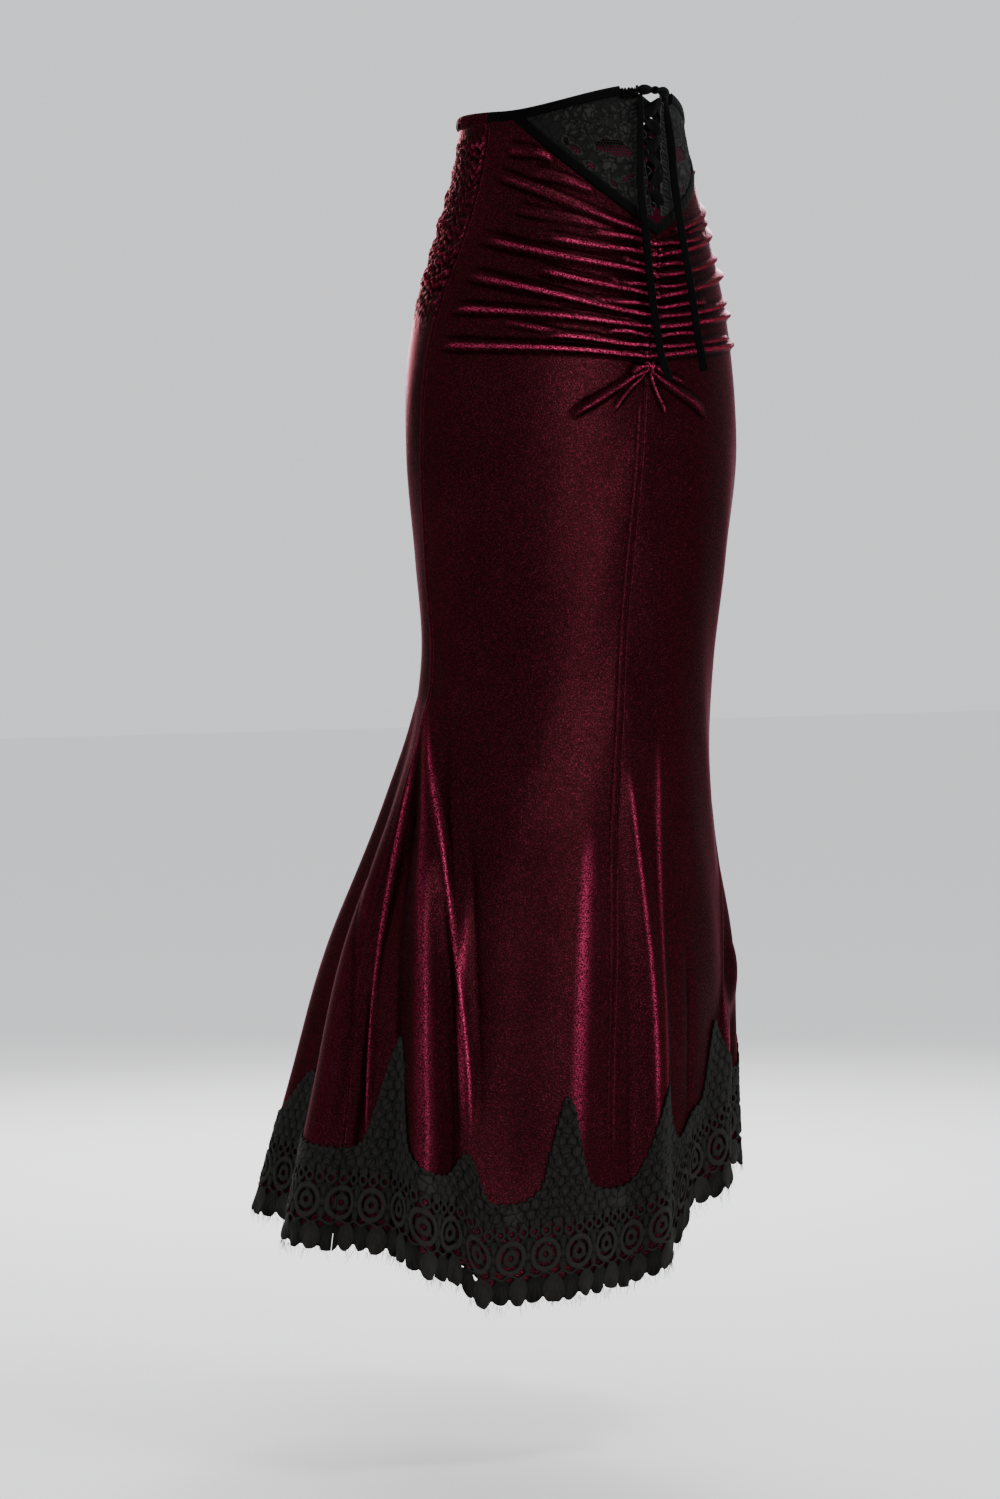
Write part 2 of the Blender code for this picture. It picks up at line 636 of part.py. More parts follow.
def build_loop_tape(name, side):
    """The tape on a laced edge, with the tabs of its loops."""
    straight = np.linspace(LACED_TOP, LACED_FOOT, 9)
    middles = FIRST_LOOP - LOOP_STEP * np.arange(LOOPS)
    roots = np.sort(np.concatenate([middles + TAB_ROOT, middles - TAB_ROOT]))[::-1]
    inner = np.concatenate([[LACED_TOP], roots, [LACED_FOOT]])
    corners = np.sort(np.concatenate([middles + TAB_TIP, middles - TAB_TIP]))[::-1]
    heights = np.concatenate([straight, inner, corners])
    reach = np.repeat([0.0, TAPE, TAPE + LOOP_REACH], [len(straight), len(inner), len(corners)])
    first_inner = len(straight)
    first_corner = first_inner + len(inner)
    shares = [(LACED_TOP - column) / (LACED_TOP - LACED_FOOT) for column in (straight, inner)]
    triangles = zip_faces(range(first_inner), range(first_inner, first_corner), *shares)
    for k in range(LOOPS):
        root = first_inner + 1 + 2 * k
        corner = first_corner + 2 * k
        triangles.append((root, corner, root + 1))
        triangles.append((root + 1, corner, corner + 1))
    angles = side * (gap_edge(heights) - 0.1 - reach)
    return plate(name, angles, heights, triangles, -0.0012, 0.0002, BLACK, 0.6)


def build_lacing(name, side, lift):
    """One run of the lacing ribbon, zigzag from loop to loop down the gap, with mitred turns."""
    count = 2 * LOOPS - 1
    heights = FIRST_LOOP - 0.5 * LOOP_STEP * np.arange(count)
    reach = gap_edge(heights) - 0.1 - TAPE - TURN_ROOM
    angles = side * reach * np.cos(0.5 * math.pi * np.arange(count))
    places = np.stack([np.radians(angles) * GAP_RADIUS, heights], axis=1)
    steps = np.diff(places, axis=0)
    steps /= np.linalg.norm(steps, axis=1, keepdims=True)
    normals = np.stack([-steps[:, 1], steps[:, 0]], axis=1)
    before = np.vstack([normals[:1], normals])
    after = np.vstack([normals, normals[-1:]])
    mitre = (before + after) / (1.0 + np.sum(before * after, axis=1))[:, None]
    edges = np.concatenate([places + 0.5 * RIBBON * mitre, places - 0.5 * RIBBON * mitre])
    triangles = []
    for k in range(count - 1):
        triangles.append((k, k + 1, count + k))
        triangles.append((k + 1, count + k + 1, count + k))
    angles = np.degrees(edges[:, 0] / GAP_RADIUS)
    return plate(name, angles, edges[:, 1], triangles, lift, lift + RIBBON_WALL, BLACK, 0.55)


def build_knot(name):
    """The bow knot that ties the lacing at the top: two flat loops pulled in at the middle."""
    stations = 13
    sides = 10
    middle = 1.6
    reach = 10.6
    middle_height = 0.0015
    points = []
    faces = []
    for k in range(stations):
        share = 2.0 * k / (stations - 1) - 1.0
        end = math.sqrt(max(0.0, 1.0 - share**6))
        pinch = 1.0 - 0.30 * math.exp(-((abs(share) - 0.33) / 0.16) ** 2)
        tall = max(0.12, end) * 0.0062 * pinch
        deep = max(0.12, end) * 0.0036 * pinch
        for s in range(sides):
            turn = 2.0 * math.pi * s / sides
            height = max(middle_height + tall * math.sin(turn), middle_height - 0.0040)
            lift = 0.0086 + deep * math.cos(turn)
            points.append(lifted(np.array(middle + reach * share), np.array(height), np.array(lift)))
    for k in range(stations - 1):
        for s in range(sides):
            n = (s + 1) % sides
            low = k * sides
            high = low + sides
            faces.append((low + s, low + n, high + n))
            faces.append((low + s, high + n, high + s))
    for end in (0, (stations - 1) * sides):
        for s in range(1, sides - 1):
            faces.append((end, end + s, end + s + 1))
    return solid(name, points, faces, BLACK, 0.55)


# The free ends hang down the front from the knot. Their routes are chosen points.
END_ROUTES = {
    "lacing_end_right": (
        (10.3, -0.0033, 0.0088), (10.3, -0.012, 0.0088), (10.7, -0.055, 0.0090), (10.8, -0.091, 0.0090),
        (8.5, -0.127, 0.0092), (5.0, -0.168, 0.0096), (0.8, -0.207, 0.0096), (-3.0, -0.238, 0.0095),
        (-7.0, -0.260, 0.0094),
    ),
    "lacing_end_left": (
        (-6.4, -0.0033, 0.0088), (-6.4, -0.012, 0.0088), (-8.0, -0.048, 0.0090), (-8.2, -0.090, 0.0090),
        (-10.0, -0.130, 0.0092), (-13.5, -0.170, 0.0096), (-17.5, -0.212, 0.0096), (-20.5, -0.236, 0.0095),
        (-22.2, -0.250, 0.0094),
    ),
}


def smooth_route(points, spacing):
    """Evenly spaced points on a smooth curve through the points."""
    padded = np.vstack([2 * points[0] - points[1], points, 2 * points[-1] - points[-2]])
    fine = []
    for k in range(1, len(padded) - 2):
        for step in range(24):
            t = step / 24.0
            a, b, c, d = padded[k - 1:k + 3]
            fine.append(0.5 * (2 * b + (c - a) * t + (2 * a - 5 * b + 4 * c - d) * t**2
                               + (3 * b - a - 3 * c + d) * t**3))
    fine.append(points[-1])
    fine = np.array(fine)
    travelled = np.concatenate([[0.0], np.cumsum(np.linalg.norm(np.diff(fine, axis=0), axis=1))])
    count = int(round(travelled[-1] / spacing)) + 1
    wanted = np.linspace(0.0, travelled[-1], count)
    return np.stack([np.interp(wanted, travelled, fine[:, axis]) for axis in range(3)], axis=1)


def build_end(name):
    """A free end of the lacing ribbon, as a plain tube of the ribbon's width."""
    route = np.array([lifted(np.array(a), np.array(z), np.array(lift)) for a, z, lift in END_ROUTES[name]])
    points = smooth_route(route, END_SPACING)
    curve = bpy.data.curves.new(name, "CURVE")
    curve.dimensions = "3D"
    curve.bevel_depth = 0.5 * END_WIDTH
    curve.bevel_resolution = END_SIDES
    curve.use_fill_caps = True
    spline = curve.splines.new("POLY")
    spline.points.add(len(points) - 1)
    for target, point in zip(spline.points, points):
        target.co = (*point, 1.0)
    curve.materials.append(material(name, BLACK, 0.6))
    made = bpy.data.objects.new(name, curve)
    bpy.context.scene.collection.objects.link(made)
    return made


def petal_angles(first, last):
    """Angles of the points of the petal edge: a notch and two shoulders for each petal."""
    shares = []
    for petal in range(PETALS):
        shares.extend((petal + step) / PETALS for step in (0.0, 0.26, 0.74))
    angles = repeat_angles(shares)
    round_back = np.concatenate([angles, angles + 360.0])
    kept = round_back[(round_back > first + 0.8) & (round_back < last - 0.8)]
    return np.unique(np.concatenate([[first], kept, [last]]).round(4))


def build_hem_lace(name, first, last):
    """The lace hem on the velvet, with its peaks, its open eyes and its petals below the velvet."""
    rows = hem_rows(first, last)
    edge = petal_angles(first, last)
    windows = []
    columns = rows[0][:, 0]
    middles = 0.5 * (columns[1:] + columns[:-1])
    for c, share in enumerate(peak_share(middles)[1]):
        cell = int(np.searchsorted(LACE_COLUMNS, share)) - 1
        if cell in (3, 5):
            windows.append((1, c, 0.46))
        if cell in (2, 4, 6):
            windows.append((2, c, 0.42))
        if cell in (0, 8):
            windows.append((1, c, 0.34))
    rows.append(row_of(edge, petal_edge(edge)))
    rows = [trimmed(row) for row in rows]
    return wall(name, rows, LAY_GAP, LAY_GAP + LACE, LACE_BLACK, 0.85, windows)


def build_hem_fringe(name, first, last):
    """The eyelash fringe under the petals: a narrow strip with a thin strand of uneven length per petal."""
    edge = petal_angles(first, last)
    middles = 0.5 * (edge[1:] + edge[:-1])
    phases = (peak_share(middles)[1] * PETALS) % 1.0
    middles = middles[np.abs(phases - 0.5) < 0.2]
    number = np.arange(len(middles))
    half = np.degrees(0.5 * STRAND / np.linalg.norm(body(middles, -1.05)[:, :2], axis=1))
    tips = middles + 0.8 * half * np.sin(2.4 * number)
    drops = FRINGE_STRIP + FRINGE_LENGTH * (0.78 + 0.22 * np.sin(1.7 * number))
    roots = np.sort(np.concatenate([edge, middles - half, middles + half]))
    top = trimmed(row_of(edge, petal_edge(edge) - SEAM_GAP))
    bottom = trimmed(row_of(roots, petal_edge(roots) - SEAM_GAP - FRINGE_STRIP))
    count = len(top) + len(bottom)
    triangles = zip_faces(range(len(top)), range(len(top), count), top[:, 0], bottom[:, 0])
    for k, root in enumerate(len(top) + np.searchsorted(roots, middles) - 1):
        triangles.append((int(root), int(root) + 1, count + k))
    angles = np.concatenate([top[:, 0], bottom[:, 0], tips])
    heights = np.concatenate([top[:, 1], bottom[:, 1], petal_edge(tips) - SEAM_GAP - drops])
    return plate(name, angles, heights, triangles, LAY_GAP, LAY_GAP + 0.0010, LACE_BLACK, 0.85)


def main():
    for old in list(bpy.data.objects):
        bpy.data.objects.remove(old, do_unlink=True)
    build_front_panel("front_panel_right", 1, FOLDS_RIGHT)
    build_front_panel("front_panel_left", -1, FOLDS_LEFT)
    build_back_panel("back_panel_right", 1)
    build_back_panel("back_panel_left", -1)
    for side, word in ((1, "right"), (-1, "left")):
        build_yoke("yoke_lace_" + word, side)
        build_bias_binding("yoke_binding_" + word, side)
        build_waist_binding("waist_binding_" + word, side)
        build_loop_tape("loop_tape_" + word, side)
    build_back_casing("back_waist_casing")
    build_lacing("lacing_under", 1, 0.0006)
    build_lacing("lacing_over", -1, 0.0022)
    build_knot("lacing_knot")
    for name in END_ROUTES:
        build_end(name)
    for word, first, last in (("front", -SIDE, SIDE), ("back", SIDE, 360.0 - SIDE)):
        build_hem_lace("hem_lace_" + word, first, last)
        build_hem_fringe("hem_fringe_" + word, first, last)


main()
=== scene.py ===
"""Mermaid fishtail skirt in wine stretch velvet, with a laced lace yoke and a deep scalloped lace hem.

A place on the skirt is given by its angle round the body in degrees and its height in metres. The angle is
0 on the centre front seam, +90 at the wearer's right, -90 at the wearer's left and 180 at the centre back.
"""
import math

import bpy
import numpy as np
from mathutils import Matrix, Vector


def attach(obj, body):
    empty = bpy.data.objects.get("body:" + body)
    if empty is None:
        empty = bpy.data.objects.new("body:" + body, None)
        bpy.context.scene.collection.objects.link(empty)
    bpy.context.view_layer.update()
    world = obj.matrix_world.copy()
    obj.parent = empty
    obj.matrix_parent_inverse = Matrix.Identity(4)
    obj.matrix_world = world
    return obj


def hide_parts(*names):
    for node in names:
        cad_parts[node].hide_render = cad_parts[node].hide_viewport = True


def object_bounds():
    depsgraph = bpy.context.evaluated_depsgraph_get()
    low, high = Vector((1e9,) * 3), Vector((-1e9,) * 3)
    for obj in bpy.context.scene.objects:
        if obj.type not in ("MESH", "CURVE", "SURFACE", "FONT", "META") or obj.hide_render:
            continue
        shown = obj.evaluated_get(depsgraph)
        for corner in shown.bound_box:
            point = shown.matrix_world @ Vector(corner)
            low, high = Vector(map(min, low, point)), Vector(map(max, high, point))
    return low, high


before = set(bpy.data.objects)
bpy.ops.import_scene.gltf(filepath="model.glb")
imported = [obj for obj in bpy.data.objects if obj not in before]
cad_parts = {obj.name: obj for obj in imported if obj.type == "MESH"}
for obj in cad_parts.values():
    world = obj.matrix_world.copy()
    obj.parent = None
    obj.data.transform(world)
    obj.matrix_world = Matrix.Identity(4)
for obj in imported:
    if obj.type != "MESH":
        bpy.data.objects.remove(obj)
cad_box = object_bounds()


# Setting: a plain pale floor in a white room. A small soft key light stands in front, two soft lights
# behind the skirt brighten its edges and one hangs above. The camera is to the wearer's right of the front.

def new_material(name):
    """A material, a function that adds a node to it and gives one of its outputs, and one that feeds its
    shader. An input is a number, a colour or the output of another node."""
    made = bpy.data.materials.new(name)
    made.use_nodes = True
    tree = made.node_tree

    def feed(node, inputs):
        for socket, value in inputs.items():
            if isinstance(value, bpy.types.NodeSocket):
                tree.links.new(value, node.inputs[socket])
            else:
                node.inputs[socket].default_value = value

    def add(kind, output, inputs, **options):
        node = tree.nodes.new("ShaderNode" + kind)
        for option, value in options.items():
            setattr(node, option, value)
        feed(node, inputs)
        return node.outputs[output]

    return made, add, lambda inputs: feed(tree.nodes["Principled BSDF"], inputs)


def spread_over(add, factor, low, high, start=0.0, end=1.0):
    """A value that runs evenly from low to high while a factor runs from start to end."""
    return add("MapRange", "Result", {"Value": factor, "From Min": start, "From Max": end,
                                      "To Min": low, "To Max": high})


def plain_material(name, colour, roughness):
    """A matt painted surface with a faint unevenness."""
    made, add, shader = new_material(name)
    noise = add("TexNoise", "Fac", {"Scale": 1.5, "Vector": add("TexCoord", "Object", {})})
    uneven = spread_over(add, noise, roughness - 0.05, roughness + 0.05)
    shader({"Base Color": (*colour, 1.0), "Roughness": uneven})
    return made


FLOOR_HEIGHT = -1.236
FLOOR_CORNERS = ((-14, -14), (14, -14), (14, 14), (-14, 14))
floor_mesh = bpy.data.meshes.new("floor")
floor_mesh.from_pydata([(*corner, FLOOR_HEIGHT) for corner in FLOOR_CORNERS], [], [(0, 1, 2, 3)])
floor_mesh.materials.append(plain_material("pale_floor", colour=(0.90, 0.90, 0.90), roughness=0.7))
floor = bpy.data.objects.new("floor", floor_mesh)
bpy.context.scene.collection.objects.link(floor)

room = bpy.data.worlds.new("white_room")
room.use_nodes = True
room.node_tree.nodes["Background"].inputs["Color"].default_value = (0.96, 0.97, 1.0, 1.0)
room.node_tree.nodes["Background"].inputs["Strength"].default_value = 1.0
bpy.context.scene.world = room
LIT_POINT = (0.0, 0.0, -0.5)     # the middle of the skirt, towards which the lamps are turned


def stand(made, right, up, back, place):
    """Put a lamp or the camera at its place, by the three directions that it is turned to."""
    rows = zip(np.stack([right, up, back], axis=1), place)
    made.matrix_world = Matrix([(*row, at) for row, at in rows] + [(0, 0, 0, 1)])
    bpy.context.scene.collection.objects.link(made)


def soft_light(name, angle, distance, height, wide, tall, power):
    """An oblong area light at an angle round the skirt, turned to the skirt's middle."""
    lamp = bpy.data.lights.new(name, "AREA")
    lamp.shape = "RECTANGLE"
    lamp.size = wide
    lamp.size_y = tall
    lamp.energy = power
    made = bpy.data.objects.new(name, lamp)
    turn = math.radians(angle)
    place = np.array([-math.sin(turn) * distance, -math.cos(turn) * distance, height])
    back = place - LIT_POINT
    back /= np.linalg.norm(back)
    side = np.cross([0.0, 0.0, 1.0], back)
    side /= np.linalg.norm(side)
    stand(made, side, np.cross(back, side), back, place)


# name, angle round the skirt, distance, height, width and height of the lamp, watts
soft_light("key_light", 8.0, 3.6, -0.14, 0.5, 0.6, 42.0)
soft_light("right_light", -136.0, 2.6, 0.6, 0.8, 0.8, 60.0)
soft_light("left_light", 196.0, 2.6, 0.3, 0.9, 0.9, 42.0)
soft_light("top_light", -30.0, 1.5, 2.4, 0.7, 0.7, 40.0)

CAMERA_AZIMUTH = -38.0      # degrees from the front, negative to the wearer's right
CAMERA_DISTANCE = 4.0
CAMERA_HEIGHT = -0.42
CAMERA_TILT = 2.5
CAMERA_PAN = 0.92
FOCAL_PIXELS = 4347.0
IMAGE_HEIGHT = 1499.0       # pixels
SENSOR = 36.0               # millimetres, for the longer side of the image
lens = bpy.data.cameras.new("camera")
lens.lens = FOCAL_PIXELS / IMAGE_HEIGHT * SENSOR
lens.sensor_width = SENSOR
lens.clip_end = 60.0
camera = bpy.data.objects.new("camera", lens)
azimuth = math.radians(CAMERA_AZIMUTH)
spot = np.array([math.sin(azimuth) * CAMERA_DISTANCE, -math.cos(azimuth) * CAMERA_DISTANCE, CAMERA_HEIGHT])
heading = azimuth + math.radians(CAMERA_PAN)
level = np.array([-math.sin(heading), math.cos(heading), 0.0])
tilt = math.radians(CAMERA_TILT)
ahead = level * math.cos(tilt) + np.array([0.0, 0.0, -math.sin(tilt)])
aside = np.array([level[1], -level[0], 0.0])
above = np.cross(aside, ahead)
stand(camera, aside, above, -ahead, spot)
bpy.context.scene.camera = camera


# Front panels: two panels of wine stretch velvet sewn together down the centre front. They are gathered
# along that seam from the yoke down to a small knot, lie smooth over the thighs and open into soft rolls.
# Each panel is a thin wall: a fine outside and a coarser inside a millimetre behind it.

LEDGE = -0.246      # height of the knot at the foot of the gathers
SIDE = 88.0         # angle of the side seams
BACK = 180.0
YOKE_TIP = -0.124
YOKE_CORNER = 69.0      # angle at which the yoke's slanting edge meets the waist binding
YOKE_CORNER_HEIGHT = -0.028
BINDING = 0.009
BIAS_HALF = 0.0056      # half width of the binding between the yoke and the velvet
TUCKED = 0.0012         # cloth that runs under a binding
VELVET_SHORT = 0.015    # how far above the lace's lower edge the velvet ends
VELVET_WALL = 0.0012
LAID = 0.0002           # how far over the smooth form a sewn-on band starts
SEAM_SLANT = 1.1        # metres across the cloth for a metre round the body, beside a seam
INSIDE_STEP = 3         # one inside point for three outside ones, each way
FRONT_ROWS = (171, 221)     # rows of points down the gathers and down the rest
# height, half width, front depth, back depth, centre x, centre y, turn in degrees
SECTIONS = (
    (0.030, 0.117, 0.092, 0.088, 0.000, 0.000, -14.0),
    (0.000, 0.117, 0.092, 0.088, 0.000, 0.000, -13.0),
    (-0.060, 0.121, 0.097, 0.094, 0.004, 0.000, -9.0),
    (-0.120, 0.134, 0.108, 0.110, 0.005, 0.000, -5.0),
    (-0.180, 0.150, 0.118, 0.122, 0.003, 0.000, 0.0),
    (-0.240, 0.159, 0.121, 0.128, 0.002, 0.000, 4.0),
    (-0.320, 0.161, 0.121, 0.122, 0.003, 0.000, 7.0),
    (-0.420, 0.150, 0.116, 0.114, 0.003, 0.002, 10.0),
    (-0.510, 0.140, 0.111, 0.110, 0.000, 0.003, 11.0),
    (-0.570, 0.142, 0.111, 0.120, -0.003, 0.006, 10.5),
    (-0.640, 0.152, 0.112, 0.143, -0.007, 0.011, 10.0),
    (-0.780, 0.180, 0.114, 0.198, -0.014, 0.020, 8.0),
    (-0.940, 0.192, 0.117, 0.254, -0.022, 0.030, 6.0),
    (-1.100, 0.206, 0.121, 0.300, -0.029, 0.036, 4.0),
)
# angle at the hem, angle at its start, height of the roll, spread to the front, spread to the back, start
ROLLS = (
    (5.0, 3.0, 0.006, 15.0, 15.0, -0.66), (51.0, 84.0, 0.034, 10.0, 13.0, -0.545),
    (97.0, 90.0, 0.034, 14.0, 16.0, -0.540), (127.0, 110.0, 0.032, 12.0, 13.0, -0.545),
    (153.0, 172.0, 0.034, 12.0, 13.0, -0.545), (180.0, 180.0, 0.036, 13.0, 13.0, -0.540),
    (-153.0, -172.0, 0.033, 13.0, 12.0, -0.550), (-127.0, -110.0, 0.031, 13.0, 12.0, -0.545),
    (-101.0, -92.0, 0.030, 13.0, 12.0, -0.545), (-76.0, -88.0, 0.030, 12.0, 12.0, -0.620),
    (-50.0, -80.0, 0.026, 12.0, 9.0, -0.780), (-19.0, -4.0, 0.019, 9.0, 9.0, -0.600),
)
ROLL_FOOT = -1.07       # height at which the rolls are full
ROLL_OPEN = 2.4         # how early they spread to their place at the hem
# angle, height of the lower edge of the lace
HEM = (
    (-180.0, -1.012), (-140.0, -1.000), (-100.0, -0.992), (-60.0, -0.990), (-40.0, -1.016),
    (-26.0, -1.058), (-8.0, -1.080), (12.0, -1.086), (31.0, -1.090), (43.0, -1.064),
    (60.0, -1.042), (85.0, -1.042), (112.0, -1.036), (145.0, -1.024), (180.0, -1.012),
)
# outer angle, outer height, inner angle, inner height, height of the fold, half width
FOLDS_RIGHT = (
    (76.0, -0.052, 52.0, -0.062, 0.0028, 0.0060), (62.0, -0.074, 32.0, -0.090, 0.0026, 0.0055),
    (86.0, -0.071, 8.0, -0.126, 0.0030, 0.0055), (70.0, -0.104, 22.0, -0.126, 0.0022, 0.0050),
    (32.0, -0.126, 1.0, -0.138, 0.0036, 0.0045), (52.0, -0.132, 1.0, -0.148, 0.0034, 0.0045),
    (16.0, -0.154, 0.0, -0.157, 0.0030, 0.0038), (84.0, -0.131, 0.0, -0.166, 0.0044, 0.0055),
    (20.0, -0.172, 0.0, -0.176, 0.0034, 0.0038), (52.0, -0.160, 0.0, -0.185, 0.0040, 0.0045),
    (26.0, -0.188, 0.0, -0.194, 0.0034, 0.0038), (86.0, -0.163, 0.0, -0.203, 0.0048, 0.0056),
    (87.0, -0.194, 0.0, -0.212, 0.0040, 0.0048), (18.0, -0.216, 0.0, -0.220, 0.0034, 0.0038),
    (42.0, -0.221, 0.0, -0.229, 0.0038, 0.0042), (88.0, -0.226, 0.0, -0.239, 0.0048, 0.0052),
    (27.0, -0.294, 1.0, -0.251, 0.0044, 0.0060), (12.0, -0.288, 1.0, -0.254, 0.0024, 0.0045),
    (7.0, -0.252, 0.0, -0.248, 0.0050, 0.0065), (44.0, -0.148, 6.0, -0.161, 0.0018, 0.0030),
    (38.0, -0.197, 3.0, -0.209, 0.0020, 0.0030), (60.0, -0.208, 20.0, -0.222, 0.0020, 0.0032),
    (12.0, -0.143, 0.5, -0.143, 0.0022, 0.0026), (11.0, -0.181, 0.0, -0.181, 0.0024, 0.0026),
    (10.0, -0.199, 0.0, -0.199, 0.0022, 0.0026), (12.0, -0.234, 0.0, -0.235, 0.0022, 0.0026),
    (9.0, -0.270, 1.5, -0.253, 0.0018, 0.0030), (84.0, -0.252, 70.0, -0.262, 0.0012, 0.0040),
)
FOLDS_LEFT = (
    (80.0, -0.048, 50.0, -0.064, 0.0028, 0.0060), (84.0, -0.078, 14.0, -0.122, 0.0034, 0.0055),
    (58.0, -0.104, 20.0, -0.124, 0.0024, 0.0050), (40.0, -0.124, 1.0, -0.138, 0.0036, 0.0045),
    (86.0, -0.106, 0.0, -0.148, 0.0044, 0.0055), (18.0, -0.153, 0.0, -0.157, 0.0030, 0.0038),
    (60.0, -0.140, 0.0, -0.167, 0.0038, 0.0048), (22.0, -0.171, 0.0, -0.176, 0.0034, 0.0038),
    (87.0, -0.144, 0.0, -0.186, 0.0048, 0.0056), (30.0, -0.187, 0.0, -0.195, 0.0036, 0.0040),
    (66.0, -0.180, 0.0, -0.204, 0.0040, 0.0048), (87.0, -0.188, 0.0, -0.213, 0.0046, 0.0052),
    (24.0, -0.215, 0.0, -0.221, 0.0034, 0.0038), (54.0, -0.218, 0.0, -0.230, 0.0038, 0.0045),
    (88.0, -0.214, 0.0, -0.239, 0.0046, 0.0054), (29.0, -0.292, 1.0, -0.251, 0.0040, 0.0060),
    (9.0, -0.292, 1.0, -0.254, 0.0024, 0.0045), (7.0, -0.252, 0.0, -0.248, 0.0050, 0.0065),
    (40.0, -0.150, 5.0, -0.162, 0.0018, 0.0030), (46.0, -0.192, 4.0, -0.208, 0.0020, 0.0030),
    (11.0, -0.143, 0.5, -0.143, 0.0022, 0.0026), (12.0, -0.181, 0.0, -0.181, 0.0024, 0.0026),
    (12.0, -0.199, 0.0, -0.200, 0.0022, 0.0026), (10.0, -0.234, 0.0, -0.235, 0.0022, 0.0026),
    (18.0, -0.262, 2.0, -0.252, 0.0016, 0.0030),
)
# Creases of the flare: angle and height at the start, in the middle and at the foot, then the height of
# the crease, its reach to each side and how round its top is, in metres, and how strong a painted highlight
# lies along it. A negative height makes a hollow crease, and a negative last value lays painted shade.
CREASES = (
    (89.0, -0.548, 86.0, -0.690, 79.0, -0.930, 0.0028, 0.0050, 0.0018, 0.90),
    (90.0, -0.540, 66.0, -0.700, 54.0, -0.900, 0.0024, 0.0070, 0.0050, 0.34),
    (86.5, -0.550, 57.5, -0.704, 39.0, -0.920, 0.0030, 0.0050, 0.0020, 0.90),
    (51.5, -0.655, 43.5, -0.740, 36.5, -0.915, -0.0030, 0.0090, 0.0055, -0.80),
    (47.5, -0.720, 45.0, -0.820, 41.0, -0.920, 0.0018, 0.0060, 0.0045, 0.42),
    (23.0, -0.640, 23.0, -0.790, 23.0, -0.980, 0.0, 0.0110, 0.0300, -0.52),
    (8.5, -0.650, 8.0, -0.790, 7.0, -0.960, 0.0024, 0.0110, 0.0075, 0.42),
    (-4.0, -0.600, -10.5, -0.715, -17.0, -0.930, 0.0026, 0.0050, 0.0020, 0.70),
    (-17.5, -0.575, -18.5, -0.710, -20.3, -0.930, 0.0026, 0.0060, 0.0030, 0.60),
    (108.0, -0.640, 92.0, -0.780, 91.0, -0.930, -0.0014, 0.0050, 0.0020, -0.50),
    (-84.0, -0.600, -66.0, -0.760, -58.0, -0.900, 0.0026, 0.0050, 0.0022, 0.75),
    (-90.0, -0.560, -86.0, -0.740, -84.0, -0.900, 0.0024, 0.0060, 0.0040, 0.45),
    (-30.0, -0.760, -34.0, -0.830, -35.0, -0.930, -0.0024, 0.0060, 0.0024, -0.60),
    (126.0, -0.600, 124.0, -0.740, 130.0, -0.890, 0.0024, 0.0055, 0.0024, 0.65),
    (150.0, -0.580, 147.0, -0.740, 145.0, -0.890, -0.0026, 0.0070, 0.0028, -0.70),
    (166.0, -0.560, 164.0, -0.730, 161.0, -0.890, 0.0026, 0.0055, 0.0024, 0.75),
    (-166.0, -0.570, -163.0, -0.730, -162.0, -0.890, 0.0026, 0.0060, 0.0030, 0.55),
    (-142.0, -0.600, -140.0, -0.740, -139.0, -0.880, 0.0024, 0.0055, 0.0024, 0.75),
    (-118.0, -0.580, -115.0, -0.730, -113.0, -0.880, -0.0026, 0.0070, 0.0028, -0.70),
)


def row_before(keys, values, side="left"):
    """Number of the row of a rising table that comes before each value, never the last row."""
    return np.clip(np.searchsorted(keys, values, side=side) - 1, 0, len(keys) - 2)


def wrapped(angles):
    """Angles brought between -180 and 180."""
    return (np.asarray(angles, float) + 180.0) % 360.0 - 180.0


def bell(distance, width):
    """A bell: e to the minus square of distance over width."""
    return np.exp(-(distance / width) ** 2)


def hump(share):
    """A raised cosine: 1 where share is 0, and 0 from share 1 on."""
    return 0.5 * (1.0 + np.cos(np.pi * np.clip(share, 0.0, 1.0)))


def sections_at(heights):
    """SECTIONS at each height, on a cubic through its rows with averaged slopes."""
    table = np.array(SECTIONS)[::-1]
    levels = table[:, 0]
    values = table[:, 1:]
    slopes = np.gradient(values, levels, axis=0)
    index = row_before(levels, heights)
    span = (levels[index + 1] - levels[index])[..., None]
    s = np.clip((heights[..., None] - levels[index][..., None]) / span, 0.0, 1.0)
    start = (2 * s**3 - 3 * s**2 + 1) * values[index] + (s**3 - 2 * s**2 + s) * span * slopes[index]
    end = (3 * s**2 - 2 * s**3) * values[index + 1] + (s**3 - s**2) * span * slopes[index + 1]
    return start + end


def smooth(value):
    """Ease from 0 to 1: three squares less two cubes."""
    value = np.clip(value, 0.0, 1.0)
    return value * value * (3.0 - 2.0 * value)


def roll_height(angles, heights):
    """How far the rolls stand out: each is a raised cosine across that opens downwards from a point."""
    total = np.zeros(angles.shape)
    for foot, head, size, front, back, start in ROLLS:
        fall = np.clip((start - heights) / (start - ROLL_FOOT), 0.0, 1.1)
        painted_light = 1.0 - (1.0 - np.minimum(fall, 1.0)) ** ROLL_OPEN
        middle = head + (foot - head) * painted_light
        away = wrapped(angles - middle)
        spread = np.where(away * np.sign(foot) < 0.0, front, back)
        total += size * fall**0.8 * hump(np.abs(away) / spread)
    return total


